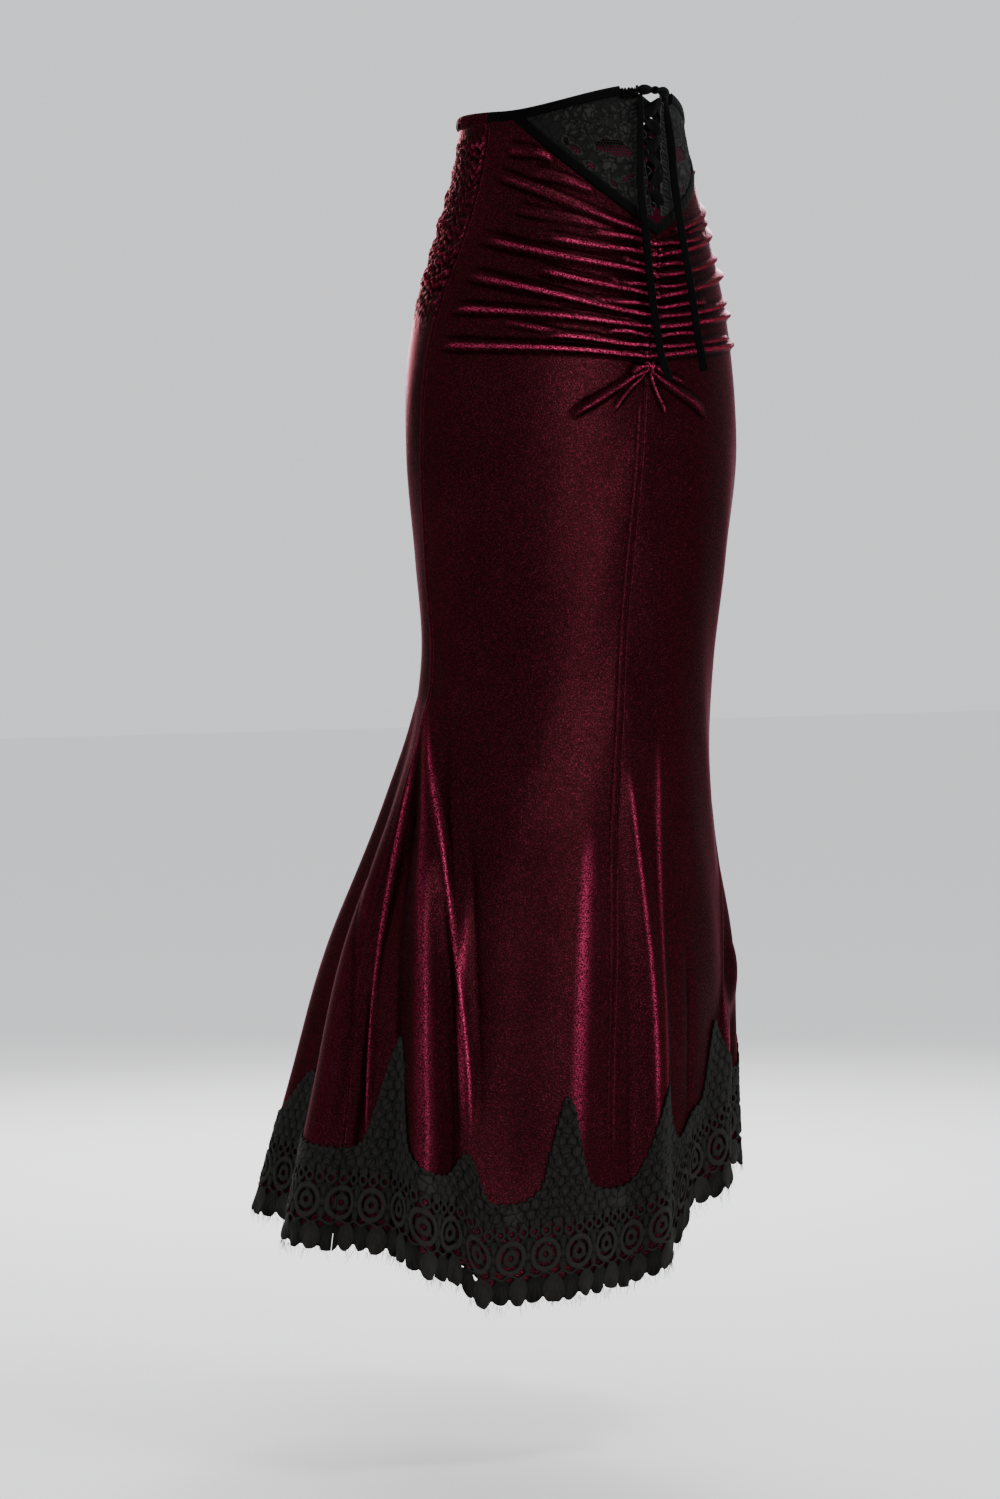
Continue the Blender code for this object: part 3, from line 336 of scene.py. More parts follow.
def body(angles, heights):
    """Points of the smooth form: an oval at each height, pushed out by the rolls, turned and shifted."""
    angles, heights = np.broadcast_arrays(np.asarray(angles, float), np.asarray(heights, float))
    half, front, back, shift_x, shift_y, turn = np.moveaxis(sections_at(heights), -1, 0)
    radians = np.radians(angles)
    depth = np.where(np.cos(radians) > 0.0, front, back)
    x = -half * np.sin(radians)
    y = -depth * np.cos(radians)
    slant_x = x / half**2
    slant_y = y / depth**2
    out = roll_height(angles, heights) / np.hypot(slant_x, slant_y)
    x = x + out * slant_x
    y = y + out * slant_y
    turn = np.radians(turn)
    return np.stack([shift_x + x * np.cos(turn) + y * np.sin(turn),
                     shift_y + y * np.cos(turn) - x * np.sin(turn), heights], axis=-1)


SLOPE_TURN = 0.3        # degrees round and metres up over which the form's slopes are taken
SLOPE_RISE = 0.001


def outward(angles, heights):
    """Unit vectors out of the smooth form: the cross product of its steps up and round."""
    round_step = body(np.add(angles, SLOPE_TURN), heights) - body(np.subtract(angles, SLOPE_TURN), heights)
    up_step = body(angles, np.add(heights, SLOPE_RISE)) - body(angles, np.subtract(heights, SLOPE_RISE))
    normal = np.cross(up_step, round_step)
    return normal / np.linalg.norm(normal, axis=-1, keepdims=True)


def lifted(angles, heights, lift):
    """Points that lie lift over the smooth form."""
    return body(angles, heights) + outward(angles, heights) * np.asarray(lift, float)[..., None]


def eased_table(table, angles):
    """Values of a two-column table at each angle, eased between its rows."""
    keys, values = np.array(table).T
    at = wrapped(angles)
    index = row_before(keys, at, "right")
    share = smooth((at - keys[index]) / (keys[index + 1] - keys[index]))
    return values[index] + (values[index + 1] - values[index]) * share


WAIST_AT_SIDES = -0.020
WAIST_RISE = 0.028      # how much higher the top edge is at the centre front
WAIST_LEVEL = 80.0      # angle from which it runs level


def waist_line(angles):
    """Height of the top edge, a little higher at the centre front than at the sides and back."""
    return WAIST_AT_SIDES + WAIST_RISE * (1.0 - smooth(np.abs(angles) / WAIST_LEVEL))


def bias_line(angles):
    """Height of the middle of the binding that edges the yoke, a straight slant up from the yoke's tip."""
    return YOKE_TIP + (YOKE_CORNER_HEIGHT - YOKE_TIP) * np.abs(angles) / YOKE_CORNER


def girth(heights):
    """Metres round the body for one degree, at each height."""
    return np.radians(sections_at(np.asarray(heights, float))[..., 0])


FOLD_FULLNESS = 1.2


def fold_relief(angles, heights, folds):
    """Height of the gathers: the highest fold at each place, gentle above its crest and steep below it."""
    relief = np.zeros(np.shape(angles))
    for outer, outer_height, inner, inner_height, size, half in folds:
        along = (angles - inner) / (outer - inner)
        line = inner_height + (outer_height - inner_height) * along
        line = line + 0.0012 * np.sin(along * 5.0 + outer) * smooth(along / 0.2)
        away = (heights - line) / (half * (1.0 + 0.5 * np.clip(along, 0.0, 1.0)))
        across = np.where(away > 0.0, away / 1.2, -away / 0.72)
        ends = smooth((1.0 - along) / 0.24) * smooth((along + 0.10) / 0.10)
        uneven = 0.88 + 0.12 * np.sin(along * 11.0 + 3.0 * inner_height * 100.0)
        crest = FOLD_FULLNESS * size * ends * uneven * hump(across) ** 1.15
        relief = np.maximum(relief, crest)
    return relief


def crease_relief(angles, heights):
    """Height of the flare's creases and their painted light: a highlight on crests, shade in hollows. Both
    fall away beside a parabola through three places, the height as e to the minus distance over reach,
    rounded off at its top, the painted light as a bell."""
    relief = np.zeros(np.shape(angles))
    pile = np.zeros(np.shape(angles))
    for start, start_z, middle, middle_z, foot, foot_z, size, reach, blunt, painted_light in CREASES:
        bow = np.polyfit([start_z, middle_z, foot_z], [start, middle, foot], 2)
        line = np.polyval(bow, np.clip(heights, foot_z - 0.03, start_z + 0.03))
        away = wrapped(angles - line) * girth(heights) * 1.25
        ends = smooth((start_z - heights) / 0.06) * smooth((heights - foot_z + 0.03) / 0.08)
        relief += size * ends * np.exp((blunt - np.hypot(away, blunt)) / reach)
        # The crease's painted light: a highlight where the last value is positive, shade where it is
        # negative.
        pile += painted_light * ends * bell(away, blunt)
    return relief, pile


SEAM_GROOVE = 0.0010        # depth of the groove on a sewn seam, and how wide it is
GROOVE_WIDTH = 0.0012
SEAM_RIDGE = 0.0006         # height of the soft ridge beside it, how far off it stands and how wide it is
RIDGE_AWAY = 0.0035
RIDGE_WIDTH = 0.0016


def press_seam(relief, distance):
    """Press a sewn seam into a relief: a groove on its line and a soft ridge beside it, both bells."""
    relief -= SEAM_GROOVE * bell(distance, GROOVE_WIDTH)
    relief += SEAM_RIDGE * bell(distance - RIDGE_AWAY, RIDGE_WIDTH)


PUCKER = 0.0056             # metres of the front seam that one pucker takes
PUCKER_RISE = 0.0019        # its height, how far beside the seam it stands and how wide it is
PUCKER_AWAY = 0.0022
PUCKER_WIDTH = 0.0030
CENTRE_GROOVE = 0.0017      # depth of the groove on the gathered front seam, and how wide it is
CENTRE_WIDTH = 0.0011
KNOT_RISE = 0.0026          # height of the knot, and how wide it is
KNOT_WIDTH = 0.006
SPOKES = 7.0                # creases that fan out of the knot, then their height, their place and width
SPOKE_RISE = 0.0009
SPOKE_AWAY = 0.011
SPOKE_WIDTH = 0.007
FREE_OF_KNOT = LEDGE - 0.03     # height below which the front seam lies pressed
PRESSED_RISE = 0.0005       # thickness of the pressed allowance, its width, then its stitching
PRESSED_WIDTH = 0.0058
STITCH_DEPTH = 0.0004
STITCH_AWAY = 0.0062


def front_relief(angles, heights, side, folds):
    """What stands out of a front panel but its creases: gathers, seam puckers, pressed seams and slack."""
    arc = angles * girth(heights)
    relief = fold_relief(angles, heights, folds)
    gathered = smooth((heights - LEDGE + 0.012) / 0.010) * smooth((YOKE_TIP - 0.004 - heights) / 0.006)
    pucker = np.abs(np.sin(np.pi * (heights / PUCKER + 0.45 * (side > 0)) + 0.8 * np.sin(heights * 240.0)))
    relief += PUCKER_RISE * gathered * pucker * bell(arc - PUCKER_AWAY, PUCKER_WIDTH)
    relief += 0.0005 * gathered * np.sin(heights * 1900.0 + arc * 60.0) * np.exp(-arc / 0.02)
    over_knot = heights - LEDGE + 0.002
    knot = np.hypot(arc, over_knot)
    spokes = np.cos(SPOKES * np.arctan2(over_knot, arc + 1e-6) + 0.6)
    fan = SPOKE_RISE * spokes * bell(knot - SPOKE_AWAY, SPOKE_WIDTH)
    relief += KNOT_RISE * bell(knot, KNOT_WIDTH) + fan
    relief -= CENTRE_GROOVE * bell(arc, CENTRE_WIDTH)
    if side > 0:
        under_knot = smooth((FREE_OF_KNOT - heights) / 0.02)
        pressed = PRESSED_RISE * smooth((PRESSED_WIDTH - arc) / 0.0007) * under_knot
        relief += pressed - STITCH_DEPTH * bell(arc - STITCH_AWAY, 0.0006) * under_knot
    press_seam(relief, (SIDE - angles) * girth(heights) * SEAM_SLANT)
    slack = np.sin(angles * 0.21 + heights * 31.0) * np.sin(angles * 0.052 + 1.3) * 0.0007
    relief += slack * smooth((FREE_OF_KNOT - heights) / 0.06)
    clear = smooth((bias_line(angles) - BIAS_HALF - heights) / 0.006)
    return (relief * clear * over_lace(side * angles, heights)
            * smooth((waist_line(angles) - BINDING - heights) / 0.006))


FLAT_UNDER_LACE = 0.10      # how far over the lace's lower edge the velvet lies flat


def over_lace(angles, heights):
    """Ease from 0 to 1 above the lace, under which the velvet lies flat."""
    return smooth((heights - eased_table(HEM, angles) - FLAT_UNDER_LACE) / 0.06)


def grid_quads(rows, columns, first=0, flip=False):
    """Corner numbers of all the squares of a grid of points, row by row."""
    corner = first + np.arange((rows - 1) * columns).reshape(rows - 1, columns)[:, :-1]
    quads = np.stack([corner, corner + columns, corner + columns + 1, corner + 1], axis=-1).reshape(-1, 4)
    return quads[:, ::-1] if flip else quads


def new_piece(name, points, faces, material):
    """A mesh object from points and faces, where faces is a list of equal-sided face arrays."""
    points = np.asarray(points, float).reshape(-1, 3)
    mesh = bpy.data.meshes.new(name)
    counts = np.concatenate([np.full(len(block), block.shape[1]) for block in faces])
    corners = np.concatenate([block.ravel() for block in faces])
    mesh.vertices.add(len(points))
    mesh.vertices.foreach_set("co", points.ravel())
    mesh.loops.add(len(corners))
    mesh.loops.foreach_set("vertex_index", corners.astype(np.int32))
    mesh.polygons.add(len(counts))
    mesh.polygons.foreach_set("loop_start", np.concatenate([[0], np.cumsum(counts)[:-1]]).astype(np.int32))
    mesh.polygons.foreach_set("loop_total", counts.astype(np.int32))
    mesh.polygons.foreach_set("use_smooth", np.ones(len(counts), bool))
    mesh.update(calc_edges=True)
    mesh.validate()
    mesh.materials.append(material)
    made = bpy.data.objects.new(name, mesh)
    bpy.context.scene.collection.objects.link(made)
    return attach(made, "root")


def bend_over(points, out, axis, step):
    """How sharply a grid bends at each point: its rise over the middle of two neighbours by their span."""
    places = np.arange(points.shape[axis])
    before = np.take(points, np.clip(places - step, 0, places[-1]), axis)
    after = np.take(points, np.clip(places + step, 0, places[-1]), axis)
    rise = ((points - 0.5 * (before + after)) * out).sum(axis=-1)
    bend = rise / np.maximum(np.linalg.norm(after - before, axis=-1), 1e-4)
    edges = np.minimum(places, places[::-1]) < step
    return np.where(edges if axis else edges[:, None], 0.0, bend)


def paint_highlights_and_shade(made, outside, out, pile, bare):
    """Store a painted highlight on bare crests and painted shade in the hollows, from the creases' own
    painted light and from the bends of the grid."""
    bend = np.maximum(bend_over(outside, out, 0, 2), bend_over(outside, out, 1, 2))
    broad = smooth((bend_over(outside, out, 1, 6) - 0.05) / 0.20)
    hollow = np.maximum(-bend_over(outside, out, 0, 3), -bend_over(outside, out, 1, 4))
    # Painted highlight: bright where the grid bends sharply outward, faintly on broad bends, and along the
    # creases.
    crest = np.maximum(smooth((bend - 0.15) / 0.25), 0.18 * broad) * smooth(1.0 + 6.0 * pile)
    crest = np.maximum(crest, pile) * bare
    # The first attribute holds the painted highlight, the second the painted shade of the hollows.
    for name, value in (("crest", crest), ("painted_trough_shade", np.maximum(smooth((hollow - 0.015) / 0.12), -pile))):
        stored = np.zeros(len(made.data.vertices), np.float32)
        stored[:value.size] = value.ravel()
        made.data.attributes.new(name, "FLOAT", "POINT").data.foreach_set("value", stored)


def under_relief(relief):
    """Relief of a wall's inside: the lowest of the outside within a coarse step, flatter on ridges."""
    low = relief.copy()
    for axis in (0, 1):
        level = np.moveaxis(low, axis, 0)
        whole = level.copy()
        for shift in range(1, INSIDE_STEP + 1):
            level[shift:] = np.minimum(level[shift:], whole[:-shift])
            level[:-shift] = np.minimum(level[:-shift], whole[shift:])
    return np.minimum(0.7 * low, low)


def cloth_wall(name, outside, inside, material):
    """A closed thin wall: a fine grid outside, every third point set in for the inside, and a rim."""
    rows, columns = outside.shape[:2]
    coarse = inside[::INSIDE_STEP, ::INSIDE_STEP]
    low_rows, low_columns = coarse.shape[:2]
    first = rows * columns
    faces = [grid_quads(rows, columns, 0, True), grid_quads(low_rows, low_columns, first, False)]
    fine = np.arange(first).reshape(rows, columns)
    low = first + np.arange(low_rows * low_columns).reshape(low_rows, low_columns)
    for edge, far, turned in ((fine[0], low[0], 0), (fine[-1], low[-1], 1),
                              (fine[:, 0], low[:, 0], 1), (fine[:, -1], low[:, -1], 0)):
        parts = [edge[k:len(edge) - INSIDE_STEP + k:INSIDE_STEP] for k in range(INSIDE_STEP)]
        parts += [edge[INSIDE_STEP::INSIDE_STEP], far[1:], far[:-1]]
        ring = np.stack(parts, axis=1)
        faces.append(ring[:, ::-1] if turned else ring)
    points = np.concatenate([outside.reshape(-1, 3), coarse.reshape(-1, 3)])
    made = new_piece(name, points, faces, material)
    made.data.materials.append(velvet_backing)
    inner = np.zeros(len(made.data.polygons), np.int32)
    inner[len(faces[0]):len(faces[0]) + len(faces[1])] = 1
    made.data.polygons.foreach_set("material_index", inner)
    return made


def two_colours(add, factor, places, colours):
    """A ramp from one colour to another between two places of a factor."""
    ramp = add("ValToRGB", "Color", {"Fac": factor})
    for element, place, colour in zip(ramp.node.color_ramp.elements, places, colours):
        element.position = place
        element.color = (*colour, 1.0)
    return ramp


def velvet_material(name, deep, bright, painted_highlight_colour, sheen, sheen_weight, gloss, edge, metallic, specular):
    """Pile cloth: a deep base with fine bright flecks, a coloured sheen and a gloss broken up by the pile.
    On crests it takes a painted highlight of a colour of its own, and painted shade darkens its hollows."""
    made, add, shader = new_material(name)
    where = add("TexCoord", "Object", {})
    pile = add("TexNoise", "Fac", {"Scale": 800.0, "Detail": 1.0, "Vector": where})
    specks = add("TexNoise", "Fac", {"Scale": 1050.0, "Detail": 0.0, "Vector": where})
    brushed = add("TexNoise", "Fac", {"Scale": 14.0, "Detail": 3.0, "Vector": where})
    flecks = two_colours(add, specks, (0.53, 0.76), (deep, bright))
    tips = spread_over(add, pile, 0.0, 1.0, 0.40, 0.66)
    # Painted highlight on crests: a bright colour mixed in by the "crest" attribute, broken up by the pile
    # tips.
    crest = add("Attribute", "Fac", {}, attribute_name="crest")
    broken = add("Math", "Value", {0: crest, 1: tips}, operation="MULTIPLY")
    painted_light = {"Factor": broken, "A": flecks, "B": (*painted_highlight_colour, 1.0)}
    # Painted shade: the colour darkens to a quarter in the hollows.
    painted_trough_shade = add("Attribute", "Fac", {}, attribute_name="painted_trough_shade")
    shade = {0: spread_over(add, brushed, 0.65, 1.35), 1: spread_over(add, painted_trough_shade, 1.0, 0.25)}
    shaded = {0: add("Mix", "Result", painted_light, data_type="RGBA"),
              "Scale": add("Math", "Value", shade, operation="MULTIPLY")}
    shader({
        "Base Color": add("VectorMath", "Vector", shaded, operation="SCALE"),
        "Roughness": spread_over(add, pile, gloss - 0.06, gloss + 0.10),
        "Normal": add("Bump", "Normal", {"Strength": 0.8, "Distance": 0.00050, "Height": pile}),
        "Metallic": metallic, "Specular IOR Level": specular, "Specular Tint": (*edge, 1.0),
        "Sheen Weight": sheen_weight, "Sheen Roughness": 0.35, "Sheen Tint": (*sheen, 1.0),
    })
    return made


# The crest colour of each velvet is a painted highlight.
wine_velvet = velvet_material(
    "wine_velvet", deep=(0.0120, 0.0023, 0.0028), bright=(0.0600, 0.0068, 0.0145),
    painted_highlight_colour=(0.46, 0.033, 0.110), sheen=(1.0, 0.20, 0.36), sheen_weight=0.06, gloss=0.27,
    edge=(0.40, 0.08, 0.16), metallic=0.9, specular=0.25)
velvet_backing = velvet_material(
    "velvet_backing", deep=(0.170, 0.0140, 0.0450), bright=(0.280, 0.0260, 0.0800),
    painted_highlight_colour=(0.3, 0.03, 0.09), sheen=(1.0, 0.20, 0.40), sheen_weight=0.05, gloss=0.75,
    edge=(0.5, 0.1, 0.2), metallic=0.0, specular=0.10)


SWING = 4.6             # degrees that the centre front seam swings to the wearer's left
SWING_TOP = -0.45       # height at which it starts to swing, and the height that it takes
SWING_FALL = 0.60


def front_seam(heights):
    """Angle of the centre front seam, which swings a little to the wearer's left towards the hem."""
    return -SWING * smooth((SWING_TOP - heights) / SWING_FALL)


def rows_down(top, middle, foot, counts):
    """Heights of a panel's rows: evenly from top to middle, then from middle to foot."""
    upper, lower = (np.linspace(0.0, 1.0, count)[:, None] for count in counts)
    down = np.concatenate([upper, 1.0 + lower[1:]])
    return np.where(down <= 1.0, top + (middle - top) * down, middle + (foot - middle) * (down - 1.0))


def velvet_wall(name, side, turned, heights, relief, pile):
    """A panel's wall over its grid: the outside is lifted by relief, the inside runs under it."""
    outside = lifted(turned, heights, relief)[:, ::side]
    inside = lifted(turned, heights, under_relief(relief) - VELVET_WALL)[:, ::side]
    made = cloth_wall(name, outside, inside, wine_velvet)
    # Painted highlights and painted shade for the outside, faded out towards the lace's lower edge.
    bare = smooth((heights - eased_table(HEM, turned) - 0.05) / 0.05)
    paint_highlights_and_shade(made, outside, outward(turned, heights)[:, ::side], pile[:, ::side], bare[:, ::side])
    return made


def front_panel(side, word, folds):
    """A front panel over a grid of share round and share down, closer at the centre and the gathers."""
    share = np.linspace(0.0, 1.0, INSIDE_STEP * 63 + 1)
    share = 0.62 * share + 0.38 * share**2
    angles = share * SIDE
    top = np.minimum(bias_line(angles) - BIAS_HALF, waist_line(angles) - BINDING) + TUCKED
    foot = eased_table(HEM, side * angles) + VELVET_SHORT
    heights = rows_down(top, LEDGE - 0.056, foot, FRONT_ROWS)
    seam = front_seam(heights)
    turned = seam + (side * SIDE - seam) * share
    relief = front_relief(np.abs(np.broadcast_to(angles, heights.shape)), heights, side, folds)
    # The creases give a height and a painted highlight or painted shade.
    crease, pile = crease_relief(turned, heights)
    made = velvet_wall("velvet_front_" + word, side, turned, heights, relief + crease, pile)
    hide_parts("front_panel_" + word)


front_panel(1, "right", FOLDS_RIGHT)
front_panel(-1, "left", FOLDS_LEFT)


# Back panels: two panels of the same velvet. Shirring elastic crinkles them from the waist casing down to
# the hip, below that they lie smooth, and they open into deep rolls at the hem.

CASING = 0.012
SHIRR_TOP = -0.034
SHIRR_FOOT = -0.225
BACK_ROWS = (118, 151)      # rows of points down the shirring and down the rest
WAVES = 8.0             # waves of crinkles down the shirring, and the heights of the three kinds
WAVE_RISE = 0.0026
FINE_RISE = 0.0008
CROSS_RISE = 0.0006


def shirr_relief(angles, heights):
    """Height of the crinkles: broad and fine sine waves down the panel, which wander round it, and small
    crossed ones, all faded out at both ends."""
    share = (SHIRR_TOP - heights) / (SHIRR_TOP - SHIRR_FOOT)
    wander = 0.10 * np.sin(angles * 0.11) + 0.05 * np.sin(angles * 0.29 + 1.0)
    wave = np.sin(np.pi * WAVES * (share + wander * share * (1.0 - share))) ** 2
    size = 0.65 + 0.35 * np.sin(angles * 0.083 + share * 9.0)
    sway = 2.2 * np.sin(angles * 0.42)
    fine = np.sin(heights * 760.0 + sway + 1.5 * np.sin(angles * 0.9 + heights * 90.0))
    cross = np.sin(angles * 1.35 + 2.0 * np.sin(heights * 210.0)) * np.sin(heights * 430.0 + angles * 0.5)
    crinkle = WAVE_RISE * wave * size + FINE_RISE * fine * (0.5 + size) + CROSS_RISE * cross
    return crinkle * smooth(share / 0.08) * smooth((1.0 - share) / 0.25)


def back_panel(side, word):
    """A back panel over a grid of share round and share down."""
    angles = SIDE + (BACK - SIDE) * np.linspace(0.0, 1.0, INSIDE_STEP * 50 + 1)
    top = waist_line(SIDE) - CASING + TUCKED
    foot = eased_table(HEM, side * angles) + VELVET_SHORT
    heights = rows_down(top, SHIRR_FOOT - 0.02, foot, BACK_ROWS)
    turned = side * np.broadcast_to(angles, heights.shape)
    # The creases give a height and a painted highlight or painted shade.
    crease, pile = crease_relief(turned, heights)
    relief = shirr_relief(turned, heights) + crease
    slack = np.sin(turned * 0.17 + heights * 24.0) * np.sin(turned * 0.05 + 0.4) * 0.0008
    relief += slack * smooth((SHIRR_FOOT - heights) / 0.06)
    relief *= smooth((top - heights - 0.0010) / 0.004)
    relief *= over_lace(turned, heights)
    for from_seam in (np.abs(turned) - SIDE, BACK - np.abs(turned)):
        press_seam(relief, from_seam * girth(heights) * SEAM_SLANT)
    made = velvet_wall("velvet_back_" + word, side, turned, heights, relief, pile)
    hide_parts("back_panel_" + word)


back_panel(1, "right")
back_panel(-1, "left")


# Waist casing: the top of the back panels, turned over a wide elastic that crinkles the velvet into short
# pleats. It runs round the back from side seam to side seam and is sewn down along its lower edge.

CASING_CROWN = 0.0014       # how far the pleats swell, how much that varies and how far in the inside is
CASING_PLEAT = 0.0006
CASING_INSIDE = -0.0014


def casing_wall():
    """A closed band: pleats across its width that swell in the middle, and a plain inside."""
    round_steps = np.linspace(SIDE + 0.1, 360.0 - SIDE - 0.1, 520)
    across = np.concatenate([np.linspace(-1.0, 1.0, 11), np.linspace(1.0, -1.0, 4)[1:-1]])
    outer = np.arange(len(across)) < 11
    angles, place = np.meshgrid(round_steps, across)
    pleat = np.sin(angles * 2.1 + 0.9 * np.sin(angles * 0.37) + 0.35 * place) + 0.4 * np.sin(angles * 5.3)
    crown = (1.0 - place**4) * (CASING_CROWN + CASING_PLEAT * pleat)
    lift = np.where(outer[:, None], LAID + crown, CASING_INSIDE)
    heights = waist_line(SIDE) - 0.5 * CASING - 0.5 * CASING * place
    return lifted(angles, heights, lift)


def tube_piece(name, tubes, material):
    """A mesh of closed skins, each over rings of points: tube[k, s] is point s of ring k, and its ends are
    capped."""
    walls, caps, first = [], [], 0
    for rings in tubes:
        count, sides = rings.shape[:2]
        ring = first + np.arange(count * sides).reshape(count, sides)
        after = np.roll(ring, -1, axis=1)
        walls.append(np.stack([ring[:-1], after[:-1], after[1:], ring[1:]], axis=-1).reshape(-1, 4))
        caps += [ring[:1, ::-1], ring[-1:]]
        first += count * sides
    points = np.concatenate([rings.reshape(-1, 3) for rings in tubes])
    return new_piece(name, points, [np.concatenate(walls)] + caps, material)


casing = tube_piece("waist_casing", [casing_wall().transpose(1, 0, 2)], wine_velvet)
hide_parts("back_waist_casing")


# Bindings: black velvet ribbon folded over the yoke's waist edge and over the slanting seams between the
# yoke and the velvet, stitched down flat with softly rounded edges.

GAP_TOP = 9.5           # half angle of the laced gap at its top and at its foot
GAP_FOOT = 3.2
LACED_TOP = 0.006       # heights of the gap's top and foot
LACED_FOOT = -0.111
PLACKET_TURN = 9.5      # degrees of the waist edge that are gathered beside the gap
black_velvet = velvet_material(
    "black_velvet", deep=(0.0005, 0.0005, 0.0005), bright=(0.0016, 0.0016, 0.0017),
    painted_highlight_colour=(0.01, 0.01, 0.01), sheen=(0.5, 0.5, 0.52), sheen_weight=0.008, gloss=0.60,
    edge=(0.5, 0.5, 0.5), metallic=0.0, specular=0.05)


def gap_edge(heights):
    """Angle of the yoke's laced edge, which slants in towards the foot of the gap."""
    share = (np.asarray(heights) - LACED_FOOT) / (LACED_TOP - LACED_FOOT)
    return GAP_FOOT + (GAP_TOP - GAP_FOOT) * share


def binding(name, node, angles, middles, highest, half, crown, under, wander):
    """A closed band along a line: a rounded outside, a flat inside, a slight waver and a highest line."""
    across = np.concatenate([np.linspace(-1.0, 1.0, 9), np.linspace(1.0, -1.0, 4)[1:-1]])
    outer = np.arange(len(across)) < 9
    along, place = np.meshgrid(angles, across, indexing="ij")
    waver = 1.0 + wander * np.sin(along * 1.9) + 0.6 * wander * np.sin(along * 4.3 + 1.0)
    lift = np.where(outer, LAID + crown * (1.0 - place**6) * waver, -under)
    heights = np.minimum(middles[:, None] - half * place, highest[:, None])
    rings = lifted(along, heights, lift)
    rounded = rings if angles[-1] > angles[0] else rings[:, ::-1]
    made = tube_piece(name, [rounded], black_velvet)
    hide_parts(node)
    return made


for side, word in ((1, "right"), (-1, "left")):
    angles = np.linspace(GAP_TOP + 0.2, SIDE - 0.1, 190)
    ruffle = smooth((GAP_TOP + PLACKET_TURN - angles) / 0.8)
    lowered = ruffle * (0.0030 + 0.0009 * np.sin(angles * 3.1) + 0.0005 * np.sin(angles * 7.7 + 1.0))
    waist_band = binding("waist_ribbon_" + word, "waist_binding_" + word, side * angles,
                         waist_line(angles) - 0.5 * BINDING - lowered, waist_line(angles), 0.5 * BINDING,
                         crown=0.0012, under=0.0018, wander=0.10 + 0.9 * ruffle[:, None])
    angles = np.linspace(0.12, YOKE_CORNER + 3.0, 150)
    bias_band = binding("bias_ribbon_" + word, "yoke_binding_" + word, side * angles, bias_line(angles),
                        waist_line(angles) - BINDING + TUCKED, BIAS_HALF,
                        crown=0.0011, under=0.0014, wander=0.12)


# Lacing: a flat velvet ribbon that zigzags down the gap of the yoke through cord loops on two narrow
# tapes, one run under the other, and is tied in a small bow at the waist.

LOOPS = 7
FIRST_LOOP = -0.006
LOOP_STEP = 0.0162
TAPE = 1.5              # width of a tape, in degrees
TAPE_CLEAR = 0.1        # degrees between a tape and the lace
TAPE_WIDE = 0.0030      # width of its cloth in metres, and its thickness
TAPE_THICK = 0.0016
LOOP_CORD = 0.0014      # thickness of a loop's cord, half its height and how far it reaches, in degrees
LOOP_TALL = 0.0034
LOOP_REACH = 1.25
RIBBON = 0.0115         # width of the ribbon where it crosses the gap
RIBBON_THICK = 0.0009
END_WIDTH = 0.0075
END_THICK = 0.0010
DEGREE = 0.00218        # metres round the waist for one degree


def full_turn(count):
    """Evenly spaced angles once round a ring, in radians."""
    return np.linspace(0.0, 2.0 * np.pi, count, endpoint=False)


def swept(path, width_way, out_way, widths, thick):
    """Rings of a flat ribbon along a path: a rounded slab across width_way, thick along out_way."""
    turn = full_turn(10)
    square = np.sign(np.cos(turn)) * np.abs(np.cos(turn)) ** 0.55
    flat = np.sin(turn)
    across = 0.5 * widths[:, None, None] * square[None, :, None] * width_way[:, None, :]
    return path[:, None, :] + across + 0.5 * thick * flat[None, :, None] * out_way[:, None, :]


def path_frames(angles, heights, lift, twist=0.0):
    """A path over the smooth form with its width and outward directions, turned by a twist about it."""
    path = lifted(angles, heights, lift)
    ahead = np.gradient(path, axis=0)
    ahead /= np.linalg.norm(ahead, axis=1, keepdims=True)
    out = outward(angles, heights)
    width_way = np.cross(ahead, out)
    width_way /= np.linalg.norm(width_way, axis=1, keepdims=True)
    out = np.cross(width_way, ahead)
    turn = np.broadcast_to(np.asarray(twist, float), angles.shape)[:, None]
    cosine, sine = np.cos(turn), np.sin(turn)
    return path, width_way * cosine + out * sine, out * cosine - width_way * sine


def way_along(points):
    """Distance from the first point of a line to each of its points, along the line."""
    return np.concatenate([[0.0], np.cumsum(np.linalg.norm(np.diff(points, axis=0), axis=1))])


def eased_path(rows, count):
    """Evenly spaced points of a smooth curve through rows of (angle, height, lift)."""
    rows = np.array(rows, float)
    padded = np.vstack([2 * rows[0] - rows[1], rows, 2 * rows[-1] - rows[-2]])
    t = np.linspace(0.0, 1.0, 24, endpoint=False)[:, None]
    fine = []
    for a, b, c, d in zip(padded[:-3], padded[1:-2], padded[2:-1], padded[3:]):
        fine.append(0.5 * (2 * b + (c - a) * t + (2 * a - 5 * b + 4 * c - d) * t**2
                           + (3 * b - a - 3 * c + d) * t**3))
    fine = np.vstack(fine + [rows[-1:]])
    travelled = way_along(fine * (DEGREE, 1.0, 1.0))
    wanted = np.linspace(0.0, travelled[-1], count)
    return np.stack([np.interp(wanted, travelled, fine[:, axis]) for axis in range(3)], axis=1)


